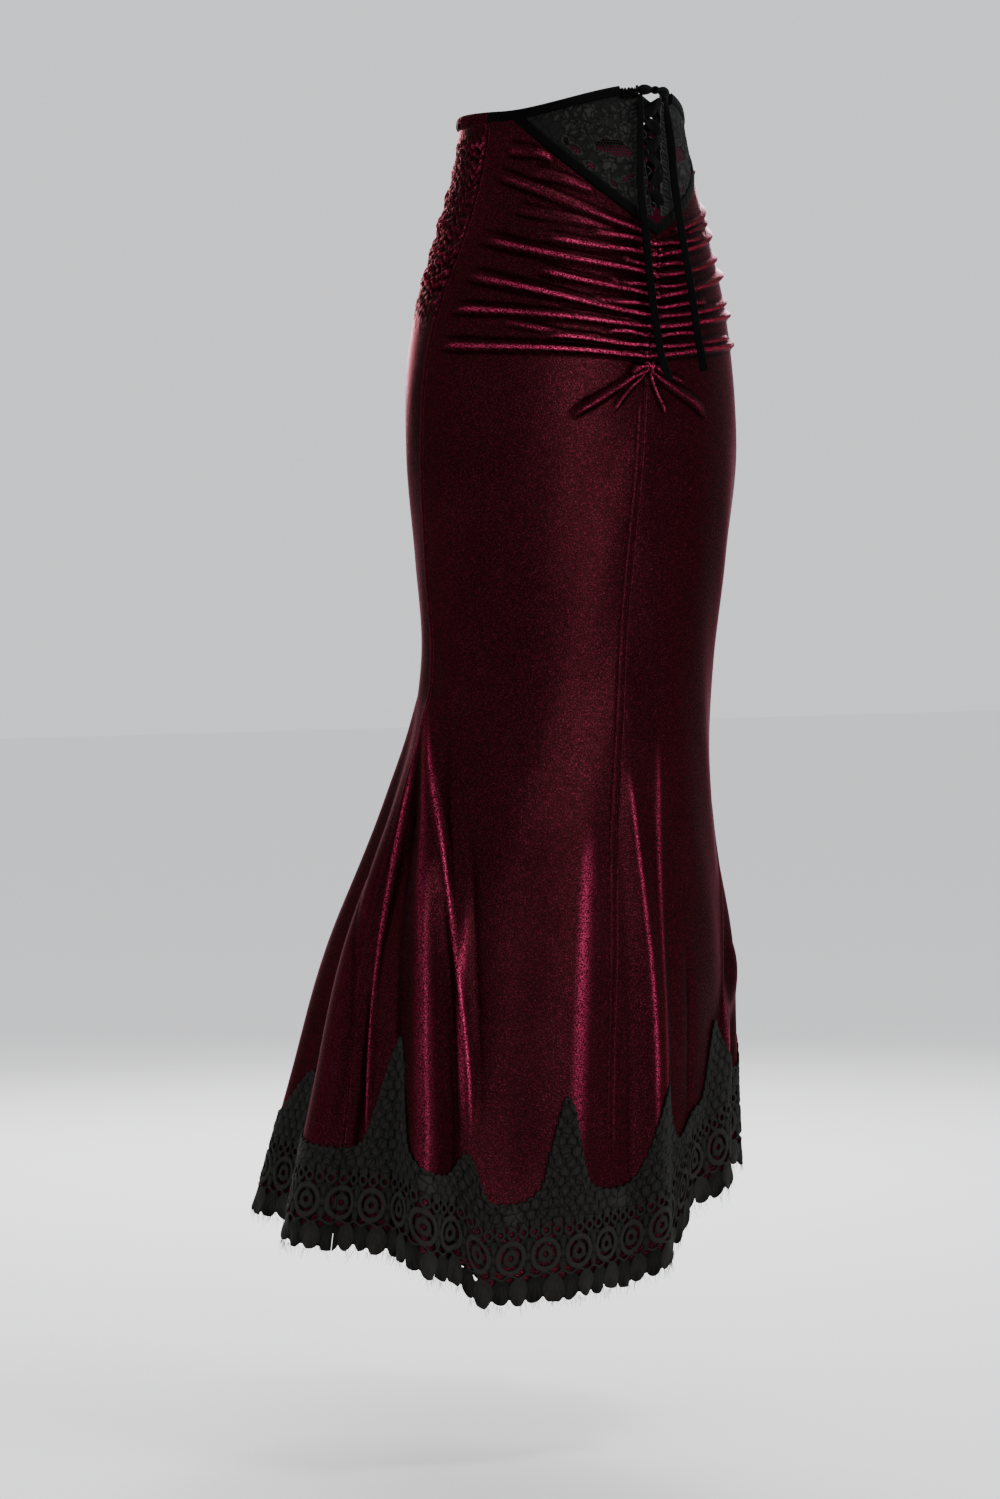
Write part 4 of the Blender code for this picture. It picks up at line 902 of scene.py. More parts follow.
def lacing_run(name, node, side, low, high):
    """One zigzag of the ribbon: straight runs that rise where they cross over, pinched where they turn."""
    count = 2 * LOOPS - 1
    levels = FIRST_LOOP - 0.5 * LOOP_STEP * np.arange(count)
    reach = gap_edge(levels) - TAPE_CLEAR - TAPE - 0.5
    rows = np.stack([side * reach * np.cos(0.5 * np.pi * np.arange(count)), levels,
                     np.where(np.arange(count) % 2 == 0, low, high)], axis=1)
    line = eased_path(rows, 240)
    path, width_way, out_way = path_frames(*line.T, twist=0.25 * np.sin(np.arange(240) * 0.13))
    turning = bell(np.abs(line[:, 0]) / (gap_edge(line[:, 1]) - 0.6 - TAPE) - 1.0, 0.22)
    widths = RIBBON * (1.0 - 0.42 * turning)
    made = tube_piece(name, [swept(path, width_way, out_way, widths, RIBBON_THICK)], black_velvet)
    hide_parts(node)
    return made


lacing_run("ribbon_under", "lacing_under", side=1, low=0.0014, high=0.0008)
lacing_run("ribbon_over", "lacing_over", side=-1, low=0.0026, high=0.0030)

satin = velvet_material(
    "black_satin", deep=(0.0006, 0.0006, 0.0007), bright=(0.0018, 0.0018, 0.0020),
    painted_highlight_colour=(0.02, 0.02, 0.02), sheen=(0.8, 0.8, 0.85), sheen_weight=0.01, gloss=0.36,
    edge=(0.7, 0.7, 0.7), metallic=0.0, specular=0.22)


def loop_tape(name, node, side):
    """The tape, with a round cord that leaves it and comes back as a loop at each lacing place."""
    heights = np.linspace(LACED_TOP, LACED_FOOT, 90)
    middle = gap_edge(heights) - TAPE_CLEAR - 0.5 * TAPE
    path, width_way, out_way = path_frames(side * middle, heights, np.full(90, LAID))
    tubes = [swept(path, width_way, out_way, np.full(90, TAPE_WIDE), TAPE_THICK)]
    turn = np.linspace(-0.5 * np.pi, 0.5 * np.pi, 13)
    for k in range(LOOPS):
        level = FIRST_LOOP - LOOP_STEP * k
        tall = level + LOOP_TALL * np.sin(turn)
        edge = gap_edge(tall) - TAPE_CLEAR - 0.7 * TAPE - LOOP_REACH * np.cos(turn)
        path, width_way, out_way = path_frames(side * edge, tall, 0.0010 + 0.0016 * np.cos(turn))
        tubes.append(swept(path, width_way, out_way, np.full(13, LOOP_CORD), LOOP_CORD))
    made = tube_piece(name, tubes, satin)
    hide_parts(node)
    return made


for side, word in ((1, "right"), (-1, "left")):
    loop_tape("looped_tape_" + word, "loop_tape_" + word, side)


BOW_ANGLE = 1.6
BOW_HEIGHT = 0.0018
BOW_LIFT = 0.0086
BOW_REACH = 9.4         # degrees from the knot to the end of a loop
BOW_TALL = 0.0066       # half height and half thickness of a full loop
BOW_THICK = 0.0036
WRAP_HALF = 1.15        # half width of the knot in degrees, then its half height, lift and half thickness
WRAP_TALL = 0.0038
WRAP_LIFT = 0.0088
WRAP_THICK = 0.0042


def bow_loop(side):
    """Rings of one bow loop: a flat pleated bag, pinched at the knot, that slumps at its outer end."""
    share = np.linspace(0.0, 1.0, 26)[:, None]
    full = np.sin(np.pi * np.clip(share * 0.93 + 0.07, 0.0, 1.0)) ** 0.5 * (0.42 + 0.58 * share)
    turn = full_turn(28)
    pleat = 1.0 + 0.13 * np.cos(5.0 * turn) * (1.0 - share) + 0.05 * np.cos(3.0 * turn)
    angles = BOW_ANGLE + side * (0.9 + BOW_REACH * share) + 0.4 * side * np.sin(turn) * share
    heights = BOW_HEIGHT - 0.0016 * share**2 + BOW_TALL * full * np.sin(turn) * pleat
    lift = BOW_LIFT + BOW_THICK * full * np.cos(turn) * pleat
    return lifted(*np.broadcast_arrays(angles, heights, lift))[:, ::side]


def bow_wrap():
    """Rings of the ribbon wound round the bow's middle."""
    turn = full_turn(30)
    band = np.linspace(-1.0, 1.0, 9)[:, None]
    bulge = 1.0 - 0.35 * band**4
    heights = BOW_HEIGHT + WRAP_TALL * bulge * np.sin(turn) + 0.0002 * np.sin(turn * 2.0)
    lift = WRAP_LIFT + WRAP_THICK * bulge * np.cos(turn)
    return lifted(*np.broadcast_arrays(BOW_ANGLE + WRAP_HALF * band, heights, lift))


bow = tube_piece("lacing_bow", [bow_loop(1), bow_loop(-1), bow_wrap()], black_velvet)
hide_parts("lacing_knot")


# Free ends of the lacing: the two ends of the black velvet ribbon, which hang limp from the bow down over
# the gathers. They turn a little on the way and are cut straight and bare at the tip.

# angle, height, lift
END_ROUTES = {
    "lacing_end_right": (
        (10.3, -0.0033, 0.0088), (10.3, -0.012, 0.0088), (10.7, -0.055, 0.0090), (10.8, -0.091, 0.0090),
        (8.5, -0.127, 0.0092), (5.0, -0.168, 0.0096), (0.8, -0.207, 0.0096), (-3.0, -0.238, 0.0095),
        (-7.0, -0.260, 0.0094),
    ),
    "lacing_end_left": (
        (-6.4, -0.0033, 0.0088), (-6.4, -0.012, 0.0088), (-8.0, -0.048, 0.0090), (-8.2, -0.090, 0.0090),
        (-10.0, -0.130, 0.0092), (-13.5, -0.170, 0.0096), (-17.5, -0.212, 0.0096), (-20.5, -0.236, 0.0095),
        (-22.2, -0.250, 0.0094),
    ),
}


def free_end(name, node, turned, turn_size):
    """A flat ribbon along its route, turned and twisting a little as it hangs, cut straight at the tip."""
    line = eased_path(END_ROUTES[node], 121)
    share = np.linspace(0.0, 1.0, 121)
    twist = (turned + turn_size * np.sin(share * 7.0 + 0.4)) * smooth(share / 0.12)
    path, width_way, out_way = path_frames(*line.T, twist=twist)
    widths = END_WIDTH * (0.97 - 0.25 * bell(share, 0.03) + 0.03 * np.sin(share * 40.0))
    made = tube_piece(name, [swept(path, width_way, out_way, widths, END_THICK)], black_velvet)
    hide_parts(node)
    tuple(path[0])
    round(float(way_along(path)[-1]), 3)
    [tuple(point) for point in path[::5]]


free_end("ribbon_end_right", "lacing_end_right", turned=-0.30, turn_size=0.15)
free_end("ribbon_end_left", "lacing_end_left", turned=-0.60, turn_size=-0.15)


# Lace hem: a deep corded lace, cut along its own motifs and stitched flat on the velvet. Its upper edge
# runs in round bays between narrow peaks, and its lower edge hangs below the velvet in round petals.

LACE_LIFT = 0.0009
CORD_LIFT = 0.00105         # metres for each millimetre of a motif's height
LACE_DEPTH = 0.092          # depth of the lace in its bays
LACE_FOOT_SPREAD = 0.95
RINGS_UP = 0.045            # height over the lower edge at which the lace's length is counted
EDGE_BUMP = 8.6             # millimetres of the upper edge that one small scallop takes, and its depth
EDGE_DEPTH = 0.9
EDGE_HALF = 1.3             # half width of the cord along the upper edge
# angle, height of the peak over the lower edge, how far it spreads towards the middle of the next bay
PEAKS = (
    (-180.0, 0.168, 0.64), (-148.0, 0.166, 0.58), (-116.0, 0.162, 0.68), (-84.0, 0.160, 0.60),
    (-52.0, 0.152, 0.66), (-21.5, 0.166, 0.68), (10.5, 0.184, 0.54), (38.5, 0.120, 0.60),
    (64.5, 0.196, 0.66), (117.0, 0.142, 0.60), (148.0, 0.166, 0.58), (180.0, 0.168, 0.64),
)
PEAK_ANGLES = np.unique([row[0] + turn for row in PEAKS for turn in (0.0, 360.0)])
UNIT = 36.0         # millimetres of the hem that one large ring takes
RING_SPACE = 34.0   # a repeat holds as many rings as fit at about this spacing
# Motifs of one unit, in millimetres from its middle and from the lower edge: middle x, middle y, turn in
# degrees, half length, half width, height, base height, number of ribs across it
PETAL_MIDDLE = 12.4
PETAL_LONG = 12.9
PETALS = tuple((x, PETAL_MIDDLE, 90.0, PETAL_LONG, 10.2, 0.75, base, 5.0)
               for x, base in ((-27.0, 0.00), (-9.0, 0.55), (9.0, 0.00), (27.0, 0.55)))
# The leaves of one half, which stand mirrored in the other
LEAVES = (
    (0.0, 51.6, 90.0, 3.4, 2.6, 0.7, 0.10, 0.0), (7.5, 38.7, -30.0, 3.2, 1.9, 0.6, 0.10, 0.0),
    (18.0, 43.0, 90.0, 4.2, 3.2, 1.0, 0.10, 0.0), (18.0, 33.0, 90.0, 6.0, 3.9, 1.0, 0.10, 3.0),
    (18.0, 53.4, 90.0, 6.6, 3.6, 1.0, 0.10, 3.0), (12.6, 57.0, 40.0, 4.6, 2.2, 0.7, 0.10, 0.0),
)
MIRRORED = tuple((-x, y, 180.0 - turn, *rest) for x, y, turn, *rest in LEAVES if x)
# middle x, middle y, radius, width, height, base height
RINGS = (
    (0.0, 43.0, 13.4, 5.4, 1.45, 0.20), (0.0, 43.0, 5.3, 5.6, 1.2, 0.20),
    *((x, 64.6, 4.2, 3.4, 1.0, 0.20) for x in (-24.0, -12.0, 0.0, 12.0, 24.0)),
)
CORD_HEIGHT = 25.6          # the waved cord over the petals, and half its width
CORD_HALF = 1.35
SCALE_WIDTH = 12.0
SCALE_STEP = 8.8
SCALE_FOOT = 73.5
SCALE_ROWS = 14
SCALE = (90.0, 6.1, 5.7, 0.85, 0.0, 3.0)    # one scale, as in LEAVES from its turn on
ROSETTE_HEIGHT = 80.0       # the middle of the flower in each bay, then its radius and its petals
ROSETTE_RADIUS = 8.4
ROSETTE_PETALS = 7.0
PETAL_DEPTH = 1.5
HEART = 2.4                 # radius of its raised heart
CLEAR = 9.0                 # a distance that counts as far from every motif


def domed(distance, half, height):
    """Height of a rounded motif from the distance to its outline: a half circle's rise, flat past half."""
    deep = np.clip(-distance / half, 0.0, 1.0)
    return height * np.sqrt(1.0 - (1.0 - deep) ** 2)


def along_and_across(x, y, turn):
    """Places along and across a line through the origin that is turned by degrees."""
    turn = math.radians(turn)
    return x * math.cos(turn) + y * math.sin(turn), y * math.cos(turn) - x * math.sin(turn)


def leaf(x, y, row):
    """Distance to an oval leaf and its height: a dome with a raised rim, a midrib and fanned ribs."""
    middle_x, middle_y, turn, long, wide, height, base, ribs = row
    along, across = along_and_across(x - middle_x, y - middle_y, turn)
    reach = np.hypot(along / long, across / wide)
    distance = (reach - 1.0) * min(long, wide)
    raised = domed(distance, 0.45 * wide, height)
    raised = raised * (1.0 - 0.28 * bell(distance + 0.36 * wide, 0.16 * wide))
    if ribs:
        foot = np.sign(math.sin(math.radians(turn)) + 0.01)
        fan = np.arctan2(across, long + 0.15 * long - along * foot)
        raised = raised * (1.0 + 0.22 * np.cos(fan * ribs * 5.0))
    return distance, base + raised


def ring(x, y, row):
    """Distance to a ring and its height: a round cord bent in a circle with a groove along its middle."""
    middle_x, middle_y, radius, width, height, base = row
    away = np.hypot(x - middle_x, y - middle_y)
    distance = np.abs(away - radius) - 0.5 * width
    raised = domed(distance, 0.5 * width, height)
    if width > 4.0:
        raised = raised * (1.0 - 0.25 * bell(away - radius, 0.8))
    return distance, base + raised


def hem_motifs(unit_x, repeat_x, y):
    """The nearest motif's distance and the highest motif's height at each place of the hem lace."""
    nearest = np.full(y.shape, CLEAR)
    highest = np.zeros(y.shape)
    found = [leaf(unit_x, y, row) for row in PETALS + LEAVES + MIRRORED]
    found += [ring(unit_x, y, row) for row in RINGS]
    cord = np.abs(y - CORD_HEIGHT - 1.5 * np.cos(unit_x * np.pi / 9.0)) - CORD_HALF
    found.append((cord, 0.35 + domed(cord, CORD_HALF, 0.9)))
    for number in range(SCALE_ROWS):
        level = SCALE_FOOT + SCALE_STEP * number
        shift = 0.5 * SCALE_WIDTH * (number % 2)
        nearby = (unit_x + shift + 0.5 * SCALE_WIDTH) % SCALE_WIDTH - 0.5 * SCALE_WIDTH
        tilt = 0.05 * (level + 6.0 - y)
        distance, raised = leaf(nearby, y, (0.0, level, *SCALE))
        found.append((distance, raised + np.clip(tilt, 0.0, 0.7)))
    around = np.arctan2(y - ROSETTE_HEIGHT, repeat_x)
    away = np.hypot(repeat_x, y - ROSETTE_HEIGHT)
    petals = away - ROSETTE_RADIUS - PETAL_DEPTH * np.cos(ROSETTE_PETALS * around)
    ribs = 0.22 * np.cos(4.0 * ROSETTE_PETALS * around) * smooth(away / 5.0)
    raised = domed(petals, 2.5, 0.8) + ribs
    found.append((petals, 0.75 + raised))
    heart = away - HEART
    found.append((heart, 1.5 + domed(heart, 2.2, 0.8)))
    for distance, raised in found:
        nearest = np.minimum(nearest, distance)
        highest = np.maximum(highest, np.where(distance < 0.0, raised, 0.0))
    return nearest, highest


def lace_top(angles):
    """Height of the lace's upper edge: peaks of four parts narrow to one part wide bell, round bays."""
    keys, sizes, spreads = np.array(PEAKS).T
    at = wrapped(angles)
    index = row_before(keys, at, "right")
    share = (at - keys[index]) / (keys[index + 1] - keys[index])
    nearest = np.where(share < 0.5, index, index + 1)
    away = 2.0 * np.minimum(share, 1.0 - share)
    rise = 0.8 * hump(away / spreads[nearest]) ** 1.2 + 0.2 * hump(away / LACE_FOOT_SPREAD)
    return eased_table(HEM, angles) + LACE_DEPTH + (sizes[nearest] - LACE_DEPTH) * rise


NUDGE = 0.2                 # millimetres over which the slope of a distance is taken


def cut_lace(name, across, up, field, place, material, turned=False):
    """Lace on a grid in millimetres. Squares clear of every motif are left out, and the points beside a
    motif move onto its outline, down the slope of the distance to it."""
    x, y = np.meshgrid(across, up)
    inside = field(x, y)[0] < 0.0
    low, high = slice(0, -1), slice(1, None)
    corners = ((low, low), (high, low), (high, high), (low, high))
    kept = np.logical_or.reduce([inside[corner] for corner in corners])
    near = np.zeros(inside.shape, bool)
    for corner in corners:
        near[corner] |= kept
    moving = near & ~inside
    at_x, at_y = x[moving], y[moving]
    for _ in range(2):
        away = field(at_x, at_y)[0]
        slope_x = (field(at_x + NUDGE, at_y)[0] - field(at_x - NUDGE, at_y)[0]) / (2.0 * NUDGE)
        slope_y = (field(at_x, at_y + NUDGE)[0] - field(at_x, at_y - NUDGE)[0]) / (2.0 * NUDGE)
        step = np.clip(away, -0.4, 0.9) / np.maximum(slope_x**2 + slope_y**2, 0.25)
        at_x = at_x - step * slope_x
        at_y = at_y - step * slope_y
    x[moving], y[moving] = at_x, at_y
    raised = np.where(inside, field(x, y)[1], 0.0)
    number = np.full(inside.shape, -1)
    number[near] = np.arange(near.sum())
    quads = np.stack([number[corner] for corner in corners], axis=-1)[kept]
    quads = quads[:, ::-1] if turned else quads
    made = new_piece(name, place(x[near], y[near], raised[near]), [quads], material)
    loops = np.empty(len(made.data.loops), np.int32)
    made.data.loops.foreach_get("vertex_index", loops)
    flat = np.stack([x[near][loops], y[near][loops]], axis=1).ravel() * 0.001
    made.data.uv_layers.new(name="thread").data.foreach_set("uv", flat)
    # The motifs' heights are kept for the painted shade of the hollows and painted light on the raised
    # cords.
    shade = made.data.attributes.new("raised", "FLOAT", "POINT")
    shade.data.foreach_set("value", raised[near].astype(np.float32))
    return made


def lace_material(name, low, high, cells_from):
    """Matt cotton thread with a fine thread bump: painted shade darkens the hollows and painted light greys
    the raised cords, and painted shade draws dark lines between small petals above a height in metres."""
    made, add, shader = new_material(name)
    flat = add("UVMap", "UV", {}, uv_map="thread")
    raised = add("Attribute", "Fac", {}, attribute_name="raised")
    thread = add("TexNoise", "Fac", {"Scale": 1500.0, "Detail": 2.0, "Vector": flat})
    weave = add("TexWave", "Fac", {"Scale": 420.0, "Distortion": 3.0, "Detail": 1.0, "Vector": flat},
                bands_direction="DIAGONAL")
    uneven = add("Math", "Value", {0: thread, 1: 0.5}, operation="SUBTRACT")
    mixed = add("Math", "Value", {0: raised, 1: 0.9, 2: uneven}, operation="MULTIPLY_ADD")
    scaled = add("Math", "Value", {0: mixed, 1: 0.62}, operation="MULTIPLY")
    petals = add("TexVoronoi", "Distance", {"Scale": 108.0, "Randomness": 0.95, "Vector": flat},
                 voronoi_dimensions="2D", feature="DISTANCE_TO_EDGE")
    height = add("SeparateXYZ", "Y", {"Vector": flat})
    # Painted shade: dark lines between small petals, from a height on.
    outline = spread_over(add, petals, spread_over(add, height, 0.85, 0.22, cells_from, cells_from + 0.004),
                          1.0, 0.0, 0.15)
    # The thread's colour runs from painted shade in the hollows to painted light on the raised cords.
    painted_light_and_shade = {0: two_colours(add, scaled, (0.15, 1.0), (low, high)), "Scale": outline}
    both = add("Math", "Value", {0: thread, 1: weave}, operation="ADD")
    domes = add("Math", "Value", {0: outline, 1: 1.6, 2: both}, operation="MULTIPLY_ADD")
    shader({
        "Base Color": add("VectorMath", "Vector", painted_light_and_shade, operation="SCALE"),
        "Roughness": spread_over(add, thread, 0.72, 0.95),
        "Normal": add("Bump", "Normal", {"Strength": 0.7, "Distance": 0.00045, "Height": domes}),
        "Specular IOR Level": 0.10, "Sheen Weight": 0.012, "Sheen Tint": (0.85, 0.95, 0.90, 1.0),
    })
    return made


# Low is the painted shade of the hollows, high the painted light of the raised cords.
hem_thread = lace_material("hem_thread", low=(0.0007, 0.0007, 0.0006), high=(0.0176, 0.0164, 0.0140),
                           cells_from=0.068)


def ring_line(angles):
    """Points of the line through the lace's rings, along which its length is counted."""
    return body(angles, eased_table(HEM, angles) + RINGS_UP)


def hem_lace(name, node, first, last, spacing):
    """The lace over half of the hem: x runs along it at the rings' height, y up from the lower edge."""
    angles = np.linspace(first - 2.0, last + 2.0, 6000)
    travelled = way_along(ring_line(angles)) * 1000.0
    travelled -= np.interp(first, angles, travelled)
    all_angles = np.linspace(PEAK_ANGLES[0], PEAK_ANGLES[-1], 24000)
    all_travelled = way_along(ring_line(all_angles)) * 1000.0
    starts = np.interp(PEAK_ANGLES, all_angles, all_travelled)
    offset = np.interp(first, all_angles, all_travelled)
    depths = (lace_top(angles) - eased_table(HEM, angles)) * 1000.0
    edge_run = np.concatenate([[0.0], np.cumsum(np.hypot(np.diff(depths), np.diff(travelled)))])

    def field(x, y):
        index = row_before(starts, x + offset)
        width = (starts[1:] - starts[:-1])[index]
        rings = np.maximum(1.0, np.round(width / RING_SPACE))
        share = (x + offset - starts[index]) / width
        unit_x = (share * rings % 1.0 - 0.5) * UNIT
        low = 1.0 - smooth((y - 6.0) / 22.0)
        bowed = y + (1.3 * np.sin(x * 0.173 + 1.0) + 1.0 * np.sin(x * 0.071)) * low
        distance, raised = hem_motifs(unit_x + 1.2 * np.sin(x * 0.093) * low, (share - 0.5) * width, bowed)
        around = np.interp(x, travelled, angles)
        top = (lace_top(around) - eased_table(HEM, around)) * 1000.0
        slope = np.interp(x + 0.5, travelled, depths) - np.interp(x - 0.5, travelled, depths)
        below = (top - y) / np.sqrt(1.0 + slope**2)
        below = below + EDGE_DEPTH * np.cos(np.interp(x, travelled, edge_run) * 2.0 * np.pi / EDGE_BUMP)
        edge = np.abs(below - EDGE_HALF) - EDGE_HALF
        distance = np.minimum(np.maximum(distance, -below), edge)
        raised = np.where(below > 1.4, raised, 0.0)
        cord = 0.3 + domed(edge, EDGE_HALF, 0.9)
        return distance, np.maximum(raised, np.where(edge < 0.0, cord, 0.0))

    def place(x, y, raised):
        around = np.interp(x, travelled, angles)
        heights = eased_table(HEM, around) + y * 0.001
        free = smooth((18.0 - y) / 14.0)
        sway = 0.0016 * np.sin(x * 0.35 + 1.3 * np.sin(x * 0.043)) * free
        sway += 0.0010 * np.sin(x * 0.11) * free
        lift = LACE_LIFT + raised * CORD_LIFT + crease_relief(around, heights)[0] + sway
        return lifted(around, heights, lift)

    total = float(np.interp(last, angles, travelled))
    across = np.linspace(0.2, total - 0.2, int(total / spacing))
    tallest = np.array(PEAKS)[:, 1].max() * 1000.0
    up = np.arange(-0.6, tallest + spacing, spacing)
    made = cut_lace(name, across, up, field, place, hem_thread)
    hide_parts(node)
    return made


corded_hem_front = hem_lace("corded_hem_front", "hem_lace_front", -SIDE, SIDE, spacing=1.0)
corded_hem_back = hem_lace("corded_hem_back", "hem_lace_back", SIDE, 360.0 - SIDE, spacing=1.2)


# Hem fringe: the cut cotton threads of the lace's net, left as short soft lashes along the edges of its
# petals, each with a lean and a bend of its own.

PETAL = 18.0                # millimetres of the hem that one petal takes
ROOT_WIDE = 10.3            # half width of the oval that the lashes start from, a hair over a petal's
ROOT_UP = 0.6               # and how far it lies above the petal's edge
HEM_REACH = 0.30            # metres from the middle of the skirt to its hem, for the lean of a lash
LASH_SHORT = 0.0050
LASH_LONG = 0.0135
LASH_HALF = 0.00020         # half its thickness at the root


def hem_fringe(name, node, first, last, number, seed):
    """Tapered bent threads: each starts on a petal's lower edge and has a lean and a bend of its own."""
    drawn = np.random.default_rng(seed)
    angles = np.linspace(first, last, 3000)
    travelled = way_along(ring_line(angles))
    around = np.interp(np.sort(drawn.uniform(0.002, travelled[-1] - 0.002, number)), travelled, angles)
    index = row_before(PEAK_ANGLES, around)
    bay = PEAK_ANGLES[index + 1] - PEAK_ANGLES[index]
    spans = PEAK_ANGLES[index] + bay * np.linspace(0.0, 1.0, 60)[:, None]
    widths = np.linalg.norm(np.diff(ring_line(spans), axis=0), axis=2).sum(axis=0)
    rings = np.maximum(1.0, np.round(widths * 1000.0 / RING_SPACE))
    share = (around - PEAK_ANGLES[index]) / bay
    from_petal = (share * rings * 2.0 % 1.0 - 0.5) * PETAL
    root = PETAL_MIDDLE - PETAL_LONG * np.sqrt(1.0 - (from_petal / ROOT_WIDE) ** 2) + ROOT_UP
    length = drawn.uniform(LASH_SHORT, LASH_LONG, number)
    lean = drawn.normal(0.0, 0.45, number)
    bend = drawn.normal(0.0, 0.5, number)
    out = drawn.normal(0.0, 0.30, number)
    along = np.linspace(0.0, 1.0, 5)[:, None]
    heights = eased_table(HEM, around) + 0.001 * root - length * along * np.cos(lean)
    sideways = length * (along * np.sin(lean) + along**2 * 0.5 * bend)
    middle = lifted(around + np.degrees(sideways / HEM_REACH), np.maximum(heights, FRINGE_FOOT),
                    LACE_LIFT + 0.0003 + length * out * along**2)
    turn = full_turn(3)[:, None]
    thick = LASH_HALF * (1.0 - 0.75 * along)
    flat = body(around, heights[0])[None] - body(around + 0.2, heights[0])[None]
    flat /= np.linalg.norm(flat, axis=2, keepdims=True)
    proud = outward(around, heights[0])[None]
    points = middle[:, :, None, :] + thick[..., None, None] * (np.cos(turn) * flat[:, :, None, :]
                                                             + np.sin(turn) * proud[:, :, None, :])
    made = tube_piece(name, list(points.transpose(1, 0, 2, 3)), hem_thread)
    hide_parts(node)
    return made


FRINGE_FOOT = cad_box[0][2] + 0.0005
lashes_front = hem_fringe("lashes_front", "hem_fringe_front", -SIDE, SIDE, number=460, seed=11)
lashes_back = hem_fringe("lashes_back", "hem_fringe_back", SIDE, 360.0 - SIDE, number=620, seed=12)


# Yoke: two triangles of heavy corded lace, close and flat, with flowers, leaves and a few windows of open
# net. Each is gathered into a narrow crumpled placket along its laced edge.

YOKE_ROUND = 1.955      # millimetres round the waist for each degree
YOKE_LIFT = -0.0005     # how far the lace's ground lies over the smooth form
YOKE_CORD_LIFT = 0.00085    # metres for each millimetre of a motif's height
YOKE_SPACING = 0.55     # millimetres between the points of its grid
PLACKET = 9.0           # millimetres of the laced edge that are crumpled
NET_CELL = 2.9
NET_BAR = 0.42          # half width of the net's bars
STEM_HALF = 0.7         # half width of a spray's stem, and of the cord round a window
RIM_HALF = 0.7
CRUMPLE = 4.3           # millimetres of the laced edge that one crumple takes, and its height
CRUMPLE_RISE = 1.1
HEXAGON = 0.866         # half the square root of three, for the net's six-sided cells
# Windows of net: middle x, middle y, half length, half width, turn in degrees
NET_WINDOWS = (
    (41.0, -52.0, 15.5, 7.2, 8.0), (52.5, -49.0, 8.5, 5.0, -25.0), (29.0, -54.5, 6.5, 4.6, 20.0),
    (79.0, -54.0, 6.0, 2.8, 35.0), (87.5, -47.5, 4.6, 2.2, 60.0), (27.5, -78.0, 7.0, 2.2, -22.0),
    (63.5, -69.0, 5.2, 2.6, 30.0), (41.5, -84.0, 4.4, 2.2, 40.0),
)
# Flowers: middle x, middle y, radius, number of petals, turn
FLOWERS = (
    (30.0, -35.0, 8.5, 7.0, 0.3), (66.0, -20.0, 7.0, 6.0, 0.0), (84.0, -37.0, 6.5, 6.0, 0.5),
    (46.5, -68.0, 8.0, 7.0, 0.2), (23.0, -91.0, 5.5, 5.0, 0.0), (110.0, -19.0, 4.5, 5.0, 0.2),
)
# Sprays of leaves: first x, first y, slope, number of leaf pairs, spacing, leaf length
SPRAYS = (
    (22.0, -66.0, 0.52, 7, 9.0, 5.6), (22.0, -15.0, -0.30, 4, 8.5, 5.2), (52.0, -34.0, 0.22, 7, 8.6, 5.0),
    (30.0, -94.0, 0.78, 3, 8.0, 4.6), (74.0, -14.5, -0.05, 5, 8.5, 4.2), (20.0, -44.0, 0.30, 3, 9.0, 4.8),
)


def net_window(x, y):
    """Distance to the nearest window of net, an oval with five lobes round its edge."""
    window = np.full(x.shape, CLEAR)
    for middle_x, middle_y, long, wide, turn in NET_WINDOWS:
        along, across = along_and_across(x - middle_x, y - middle_y, turn)
        lobes = 0.10 * np.cos(5.0 * np.arctan2(across / wide, along / long) + middle_x)
        window = np.minimum(window, (np.hypot(along / long, across / wide) - 1.0 - lobes) * min(long, wide))
    return window


def net_bars(x, y):
    """Distance to the net's bars, the outermost part of each six-sided cell of a honeycomb."""
    row = np.round(y / (HEXAGON * NET_CELL))
    cell = np.full(x.shape, CLEAR)
    for step in (-1.0, 0.0, 1.0):
        level = row + step
        shift = 0.5 * NET_CELL * (level % 2.0)
        aside = (x - shift + 0.5 * NET_CELL) % NET_CELL - 0.5 * NET_CELL
        up = y - level * HEXAGON * NET_CELL
        cell = np.minimum(cell, np.maximum(np.abs(aside), 0.5 * np.abs(aside) + HEXAGON * np.abs(up)))
    return 0.5 * NET_CELL - NET_BAR - cell


def flower(x, y, row):
    """Distance to a flower and its height: a fluted dome of round petals with a raised heart."""
    middle_x, middle_y, radius, petals, turn = row
    away = np.hypot(x - middle_x, y - middle_y)
    around = np.arctan2(y - middle_y, x - middle_x)
    edge = away - radius * (0.80 + 0.20 * np.abs(np.cos(0.5 * petals * (around + turn))))
    fan = 0.10 * np.cos(4.0 * petals * around) * smooth(away / 3.0)
    return edge, np.maximum(0.45 + domed(edge, 2.0, 0.45) + fan, np.where(away < 1.9, 1.1, 0.0))


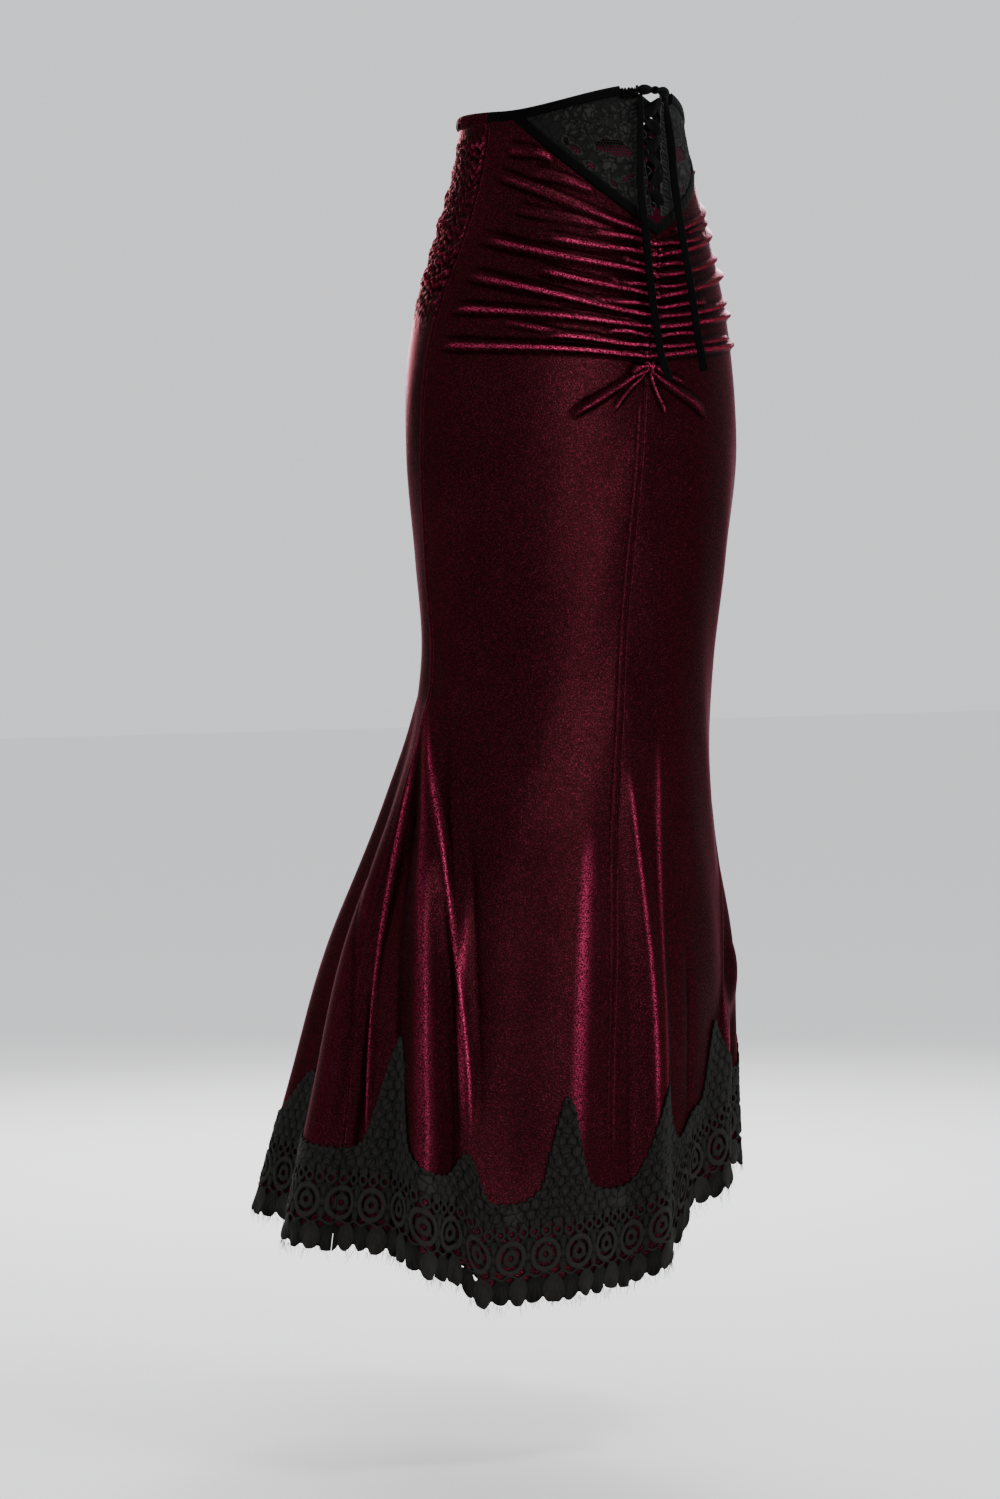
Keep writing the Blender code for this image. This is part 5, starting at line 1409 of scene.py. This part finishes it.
def spray(x, y, row):
    """Distance to a spray's waved stem, and the distances and heights of its pairs of leaves."""
    first_x, first_y, slope, number, spacing, long = row
    stem_y = first_y + slope * (x - first_x) + 2.0 * np.sin((x - first_x) * 0.16)
    on_stem = (x > first_x - 3.0) & (x < first_x + spacing * number)
    stem = np.where(on_stem, np.abs(y - stem_y) / math.hypot(1.0, slope) - STEM_HALF, CLEAR)
    leaves = []
    for order in range(number):
        at_x = first_x + spacing * order
        at_y = first_y + slope * (at_x - first_x) + 2.0 * math.sin((at_x - first_x) * 0.16)
        for way in (1.0, -1.0):
            turn = math.degrees(math.atan(slope)) + way * (52.0 + 6.0 * (order % 2))
            reach = 1.05 * long
            leaf_x = at_x + reach * math.cos(math.radians(turn))
            leaf_y = at_y + reach * math.sin(math.radians(turn))
            leaves.append(leaf(x, y, (leaf_x, leaf_y, turn, long, 0.46 * long, 0.45, 0.35, 3.0)))
    return stem, leaves


def yoke_field(x, y):
    """Distance to the lace's solid parts and their height: motifs on a close ground, windows of net."""
    from_placket = x - (gap_edge(0.001 * y) + TAPE_CLEAR) * YOKE_ROUND
    top = 1000.0 * (waist_line(x / YOKE_ROUND) - BINDING + TUCKED) - y
    foot = y - 1000.0 * (bias_line(x / YOKE_ROUND) + BIAS_HALF - TUCKED)
    border = np.maximum(-from_placket - 1.6, np.maximum(-top, -foot * 0.8))
    window = net_window(x, y)
    distance = np.maximum(border, np.minimum(-window, net_bars(x, y)))
    raised = np.full(x.shape, 0.25) + 0.10 * np.cos(x * 2.6) * np.cos(y * 2.4)
    motifs = [flower(x, y, row) for row in FLOWERS]
    for row in SPRAYS:
        stem, leaves = spray(x, y, row)
        raised = np.maximum(raised, np.where(stem < 0.0, 0.5 + domed(stem, STEM_HALF, 0.5), 0.0))
        motifs += leaves
    outline = np.full(x.shape, CLEAR)
    for edge, height in motifs:
        raised = np.maximum(raised, np.where(edge < 0.0, height, 0.0))
        outline = np.minimum(outline, np.abs(edge))
    raised = np.where(outline < 0.35, 0.15, raised)
    rim = np.abs(window - RIM_HALF) - RIM_HALF
    raised = np.maximum(raised, np.where(rim < 0.0, 0.45 + domed(rim, RIM_HALF, 0.45), 0.0))
    raised = np.where(window < 0.0, 0.05, raised)
    phase = 2.0 * np.pi * (y + 0.35 * from_placket) / CRUMPLE
    crumple = 0.5 + 0.5 * np.sin(phase + 1.2 * np.sin(y * 0.31))
    crumple = crumple * (0.8 + 0.3 * np.sin(y * 0.73 + 1.0))
    near = smooth((PLACKET - from_placket) / 2.5)
    return distance, raised * (1.0 - 0.6 * near) + CRUMPLE_RISE * near * crumple


# Low is the painted shade of the hollows, high the painted light of the raised cords.
yoke_thread = lace_material("yoke_thread", low=(0.0036, 0.0035, 0.0032), high=(0.0300, 0.0293, 0.0265),
                            cells_from=-1.0)


def yoke_lace(name, node, side):
    """One triangle of the yoke: x round the waist from the centre front, y up from the origin."""
    across = np.arange(GAP_FOOT * YOKE_ROUND, (YOKE_CORNER + 1.0) * YOKE_ROUND, YOKE_SPACING)
    up = np.arange(LACED_FOOT * 1000.0, 14.0, YOKE_SPACING)

    def place(x, y, raised):
        ripple = 0.0004 * np.sin(x * 0.23 + y * 0.11) * np.sin(y * 0.19 + 1.0)
        return lifted(side * x / YOKE_ROUND, 0.001 * y, YOKE_LIFT + YOKE_CORD_LIFT * raised + ripple)

    made = cut_lace(name, across, up, yoke_field, place, yoke_thread, side < 0)
    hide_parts(node)
    return made


yoke_lace("corded_yoke_right", "yoke_lace_right", 1)
yoke_lace("corded_yoke_left", "yoke_lace_left", -1)
